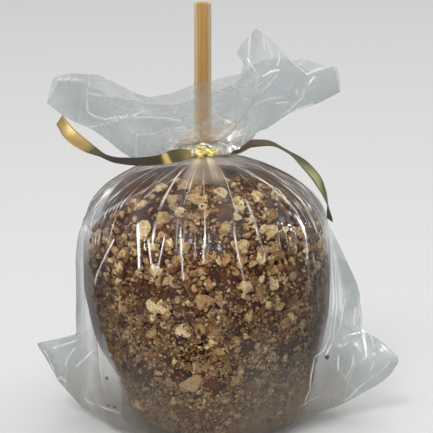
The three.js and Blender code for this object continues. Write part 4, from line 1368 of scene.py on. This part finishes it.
def strip(keys, steps=150, pinch=0.45, across=9):
    """Rings of a thin closed strip: a flat profile carried along a smooth path, its width leaning as given.

    The strip widens from pinch, as a share of its width, in its first seventh. Its two faces bow a little.
    """
    keys = np.array(keys, float)
    where, share = np.linspace(0, 1, len(keys)), np.linspace(0, 1, steps)
    *centre, lean = (smooth_curve(np.column_stack([where, keys[:, i]]), share) for i in range(4))
    centre, lean = np.stack(centre, -1), np.radians(lean)[:, None]
    for _ in range(6):
        centre[1:-1] = 0.25 * centre[:-2] + 0.5 * centre[1:-1] + 0.25 * centre[2:]
    along = unit_rows(np.gradient(centre, axis=0))
    upright = unit_rows(np.array([0, 0, 1.0]) - along * along[:, 2:])
    width = upright * np.cos(lean) + np.cross(along, upright) * np.sin(lean)
    normal = np.cross(along, width)
    spread = (pinch + (1 - pinch) * smooth_step(0, 0.14, share))[:, None, None] * RIBBON_WIDTH / 2
    place = np.linspace(-1, 1, across)
    bow = 0.10 * (1 - place ** 2)
    sideways = np.concatenate([place, place[::-1]])[None, :, None]
    outwards = np.concatenate([bow + RIBBON_THICKNESS / 2, bow[::-1] - RIBBON_THICKNESS / 2])[None, :, None]
    return centre[:, None] + width[:, None] * sideways * spread + normal[:, None] * outwards


def strip_part(keys, painted_shadings):
    """Points, faces and painted shading of a closed strip along the keys, from a table of [share of length,
    painted shading] rows.
    """
    rings = strip(keys)
    rows, columns = rings.shape[:2]
    painted_shading = np.repeat(smooth_curve(painted_shadings, np.linspace(0, 1, rows)), columns)
    return *capped_rings(rings), np.concatenate([painted_shading, painted_shading[:1], painted_shading[-1:]])


def loop_band(radius, middle, width, tilt, phase):
    """A closed band round the neck, slightly tilted and rippled by the pleats under it."""
    turn = full_turn(160)
    ripple = radius + 0.10 * np.sin(9 * turn + phase)
    rings = [on_circle(ripple + out, turn, middle + up * width + tilt * np.sin(turn + phase))
             for out, up in ((0, -0.5), (RIBBON_THICKNESS, -0.5), (RIBBON_THICKNESS, 0.5), (0, 0.5))]
    points = np.concatenate(rings)
    return points, [grid_faces(len(rings) + 1, len(turn)) % len(points)], 0.9


def knot_lump(centre, size, seed):
    """A small folded lump of the knot: a ball pulled into creases by sharp noise, with painted shading darker
    in the creases.
    """
    unit, faces = ball(3)
    folds = 1 + 0.2 * crumple(unit, 0.6, seed) + 0.16 * crumple(unit, 0.3, seed + 5)
    # painted shading: the knot is darker down in its creases
    painted_shading = 0.62 + 0.38 * smooth_step(0.75, 1.25, folds)
    return unit * folds[:, None] * np.array(size) + np.array(centre), [faces], painted_shading


def join_parts(parts):
    """Points, faces and painted shading of several closed parts as one."""
    points, painted_shadings, quads, triangles, start = [], [], [], [], 0
    for flat, faces, painted_shading in parts:
        points.append(flat)
        painted_shadings.append(np.broadcast_to(painted_shading, len(flat)))
        quads += [face + start for face in faces if face.shape[1] == 4]
        triangles += [face + start for face in faces if face.shape[1] == 3]
        start += len(flat)
    return np.vstack(points), [np.vstack(quads), np.vstack(triangles)], np.concatenate(painted_shadings)


# %% Tails, loops and knot
LOOP_RADIUS = NECK_RADIUS + 0.35
# painted light and shade along each tail, as [share of length, value]: low is a dark olive where the ribbon
# would be shaded, high a bright gold painted highlight
LEFT_PAINTED_SHADING = [
    [0, 0.95], [0.1, 0.5], [0.17, 0.4], [0.195, 0.8], [0.225, 0.7], [0.25, 0.1], [0.6, 0.05], [0.67, 0.3],
    [0.74, 0.66], [1, 0.6],
]
RIGHT_PAINTED_SHADING = [
    [0, 0.9], [0.14, 0.5], [0.2, 0.28], [0.33, 0.24], [0.42, 0.34], [0.55, 0.44], [0.7, 0.46], [1, 0.44],
]
ribbon_points, ribbon_faces, ribbon_painted_shading = join_parts([
    strip_part(LEFT_TAIL, LEFT_PAINTED_SHADING), strip_part(RIGHT_TAIL, RIGHT_PAINTED_SHADING),
    loop_band(LOOP_RADIUS, TIE_HEIGHT - 0.3, 1.3, 0.15, 0.4),
    loop_band(LOOP_RADIUS + 0.25, TIE_HEIGHT + 0.35, 1.2, -0.12, 2.0),
    knot_lump((-0.8, -8.2, TIE_HEIGHT), (2.7, 1.5, 1.9), 61),
    knot_lump((3.2, -7.8, TIE_HEIGHT - 0.2), (2.0, 1.1, 1.4), 62),
])
ribbon = make_piece("gold_ribbon", ribbon_points, ribbon_faces, attributes={"painted_shading": ribbon_painted_shading})
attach(ribbon, "root")
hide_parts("ribbon")

# %% Ribbon finish
gold = Finish("metallic_ribbon")
# painted light and shade: dark olive-brown where the ribbon would lie in shade, bright yellow gold where it
# would catch a highlight
gold_colour = gold.ramp(gold.attribute("painted_shading"), (0.05, linear(44, 35, 17)), (0.28, linear(84, 66, 48)),
                        (0.46, linear(76, 77, 42)), (0.66, linear(142, 118, 74)),
                        (1.0, linear(226, 212, 134)))
gold_bump = gold.bump(gold.speckle(0.6, 2, 0.5), 0.3, 0.12)
gold.paint(gold.shader("Principled", Base_Color=gold_colour, Metallic=0.5, Roughness=0.46,
                       Specular_IOR_Level=0.25, Normal=gold_bump), ribbon)

# %% [markdown]
# ## Floor and light
# The set is a pale floor that runs out of view, a large soft light from above, two soft lights at the sides
# that draw the edges of the film, and a brighter window-like one in front that gives the pleats their
# streaks.

# %% Floor
FLOOR_HALF = 6.0  # in metres
corners = [(-FLOOR_HALF, -FLOOR_HALF, 0), (FLOOR_HALF, -FLOOR_HALF, 0), (FLOOR_HALF, FLOOR_HALF, 0),
           (-FLOOR_HALF, FLOOR_HALF, 0)]
floor_mesh = bpy.data.meshes.new("floor")
floor_mesh.from_pydata(corners, [], [(0, 1, 2, 3)])
floor = bpy.data.objects.new("floor", floor_mesh)
floor.location.z = cad_low.z - 0.0003
bpy.context.scene.collection.objects.link(floor)
paper = Finish("pale_floor")
paper.paint(paper.shader("Principled", Base_Color=(0.56, 0.56, 0.56), Roughness=0.9), floor)

# %% Lights, in metres
APPLE_MIDDLE = (0, 0, 0.06)
WINDOW_DISTANCE, WINDOW_HEIGHT = 1.2, 0.5
WINDOWS = [  # [degrees to the right of straight ahead, height of its middle, width, strength]
    [-60, 0.42, 0.060, 7.0], [-21, 0.46, 0.016, 6.0], [2, 0.50, 0.016, 6.0], [18, 0.60, 0.022, 6.0],
    [95, 0.50, 0.100, 3.0],
]


def soft_light(name, place, size, power, highlights_only=False):
    """A rectangular area light at place, turned to the apple; it may light nothing but the glossy film."""
    light = bpy.data.lights.new(name, "AREA")
    light.shape = "RECTANGLE"
    light.size, light.size_y = size
    light.energy = power
    lamp = bpy.data.objects.new(name, light)
    lamp.location = place
    direction = np.array(APPLE_MIDDLE) - np.array(place)
    down = math.acos(-direction[2] / np.linalg.norm(direction))
    lamp.rotation_euler = (down, 0, math.atan2(direction[1], direction[0]) - math.pi / 2)
    lamp.visible_diffuse = not highlights_only
    bpy.context.scene.collection.objects.link(lamp)


soft_light("top_light", (0.6, 0.9, 5.0), (7.0, 7.0), 250)
soft_light("key_light", (-0.35, -0.85, 1.15), (0.45, 0.45), 9)
for number, (degrees, height, width, strength) in enumerate(WINDOWS):
    turn = math.radians(degrees)
    place = (WINDOW_DISTANCE * math.sin(turn), -WINDOW_DISTANCE * math.cos(turn), height)
    power = 100 * strength * width * WINDOW_HEIGHT
    soft_light(f"window_{number}", place, (width, WINDOW_HEIGHT), power, highlights_only=True)
world = bpy.data.worlds.new("studio")
world.use_nodes = True
background = world.node_tree.nodes["Background"]
background.inputs["Color"].default_value = (1.0, 0.99, 0.975, 1)
background.inputs["Strength"].default_value = 0.5
bpy.context.scene.world = world
bpy.context.scene.view_settings.view_transform = "Standard"
print("lights:", len(bpy.data.lights))
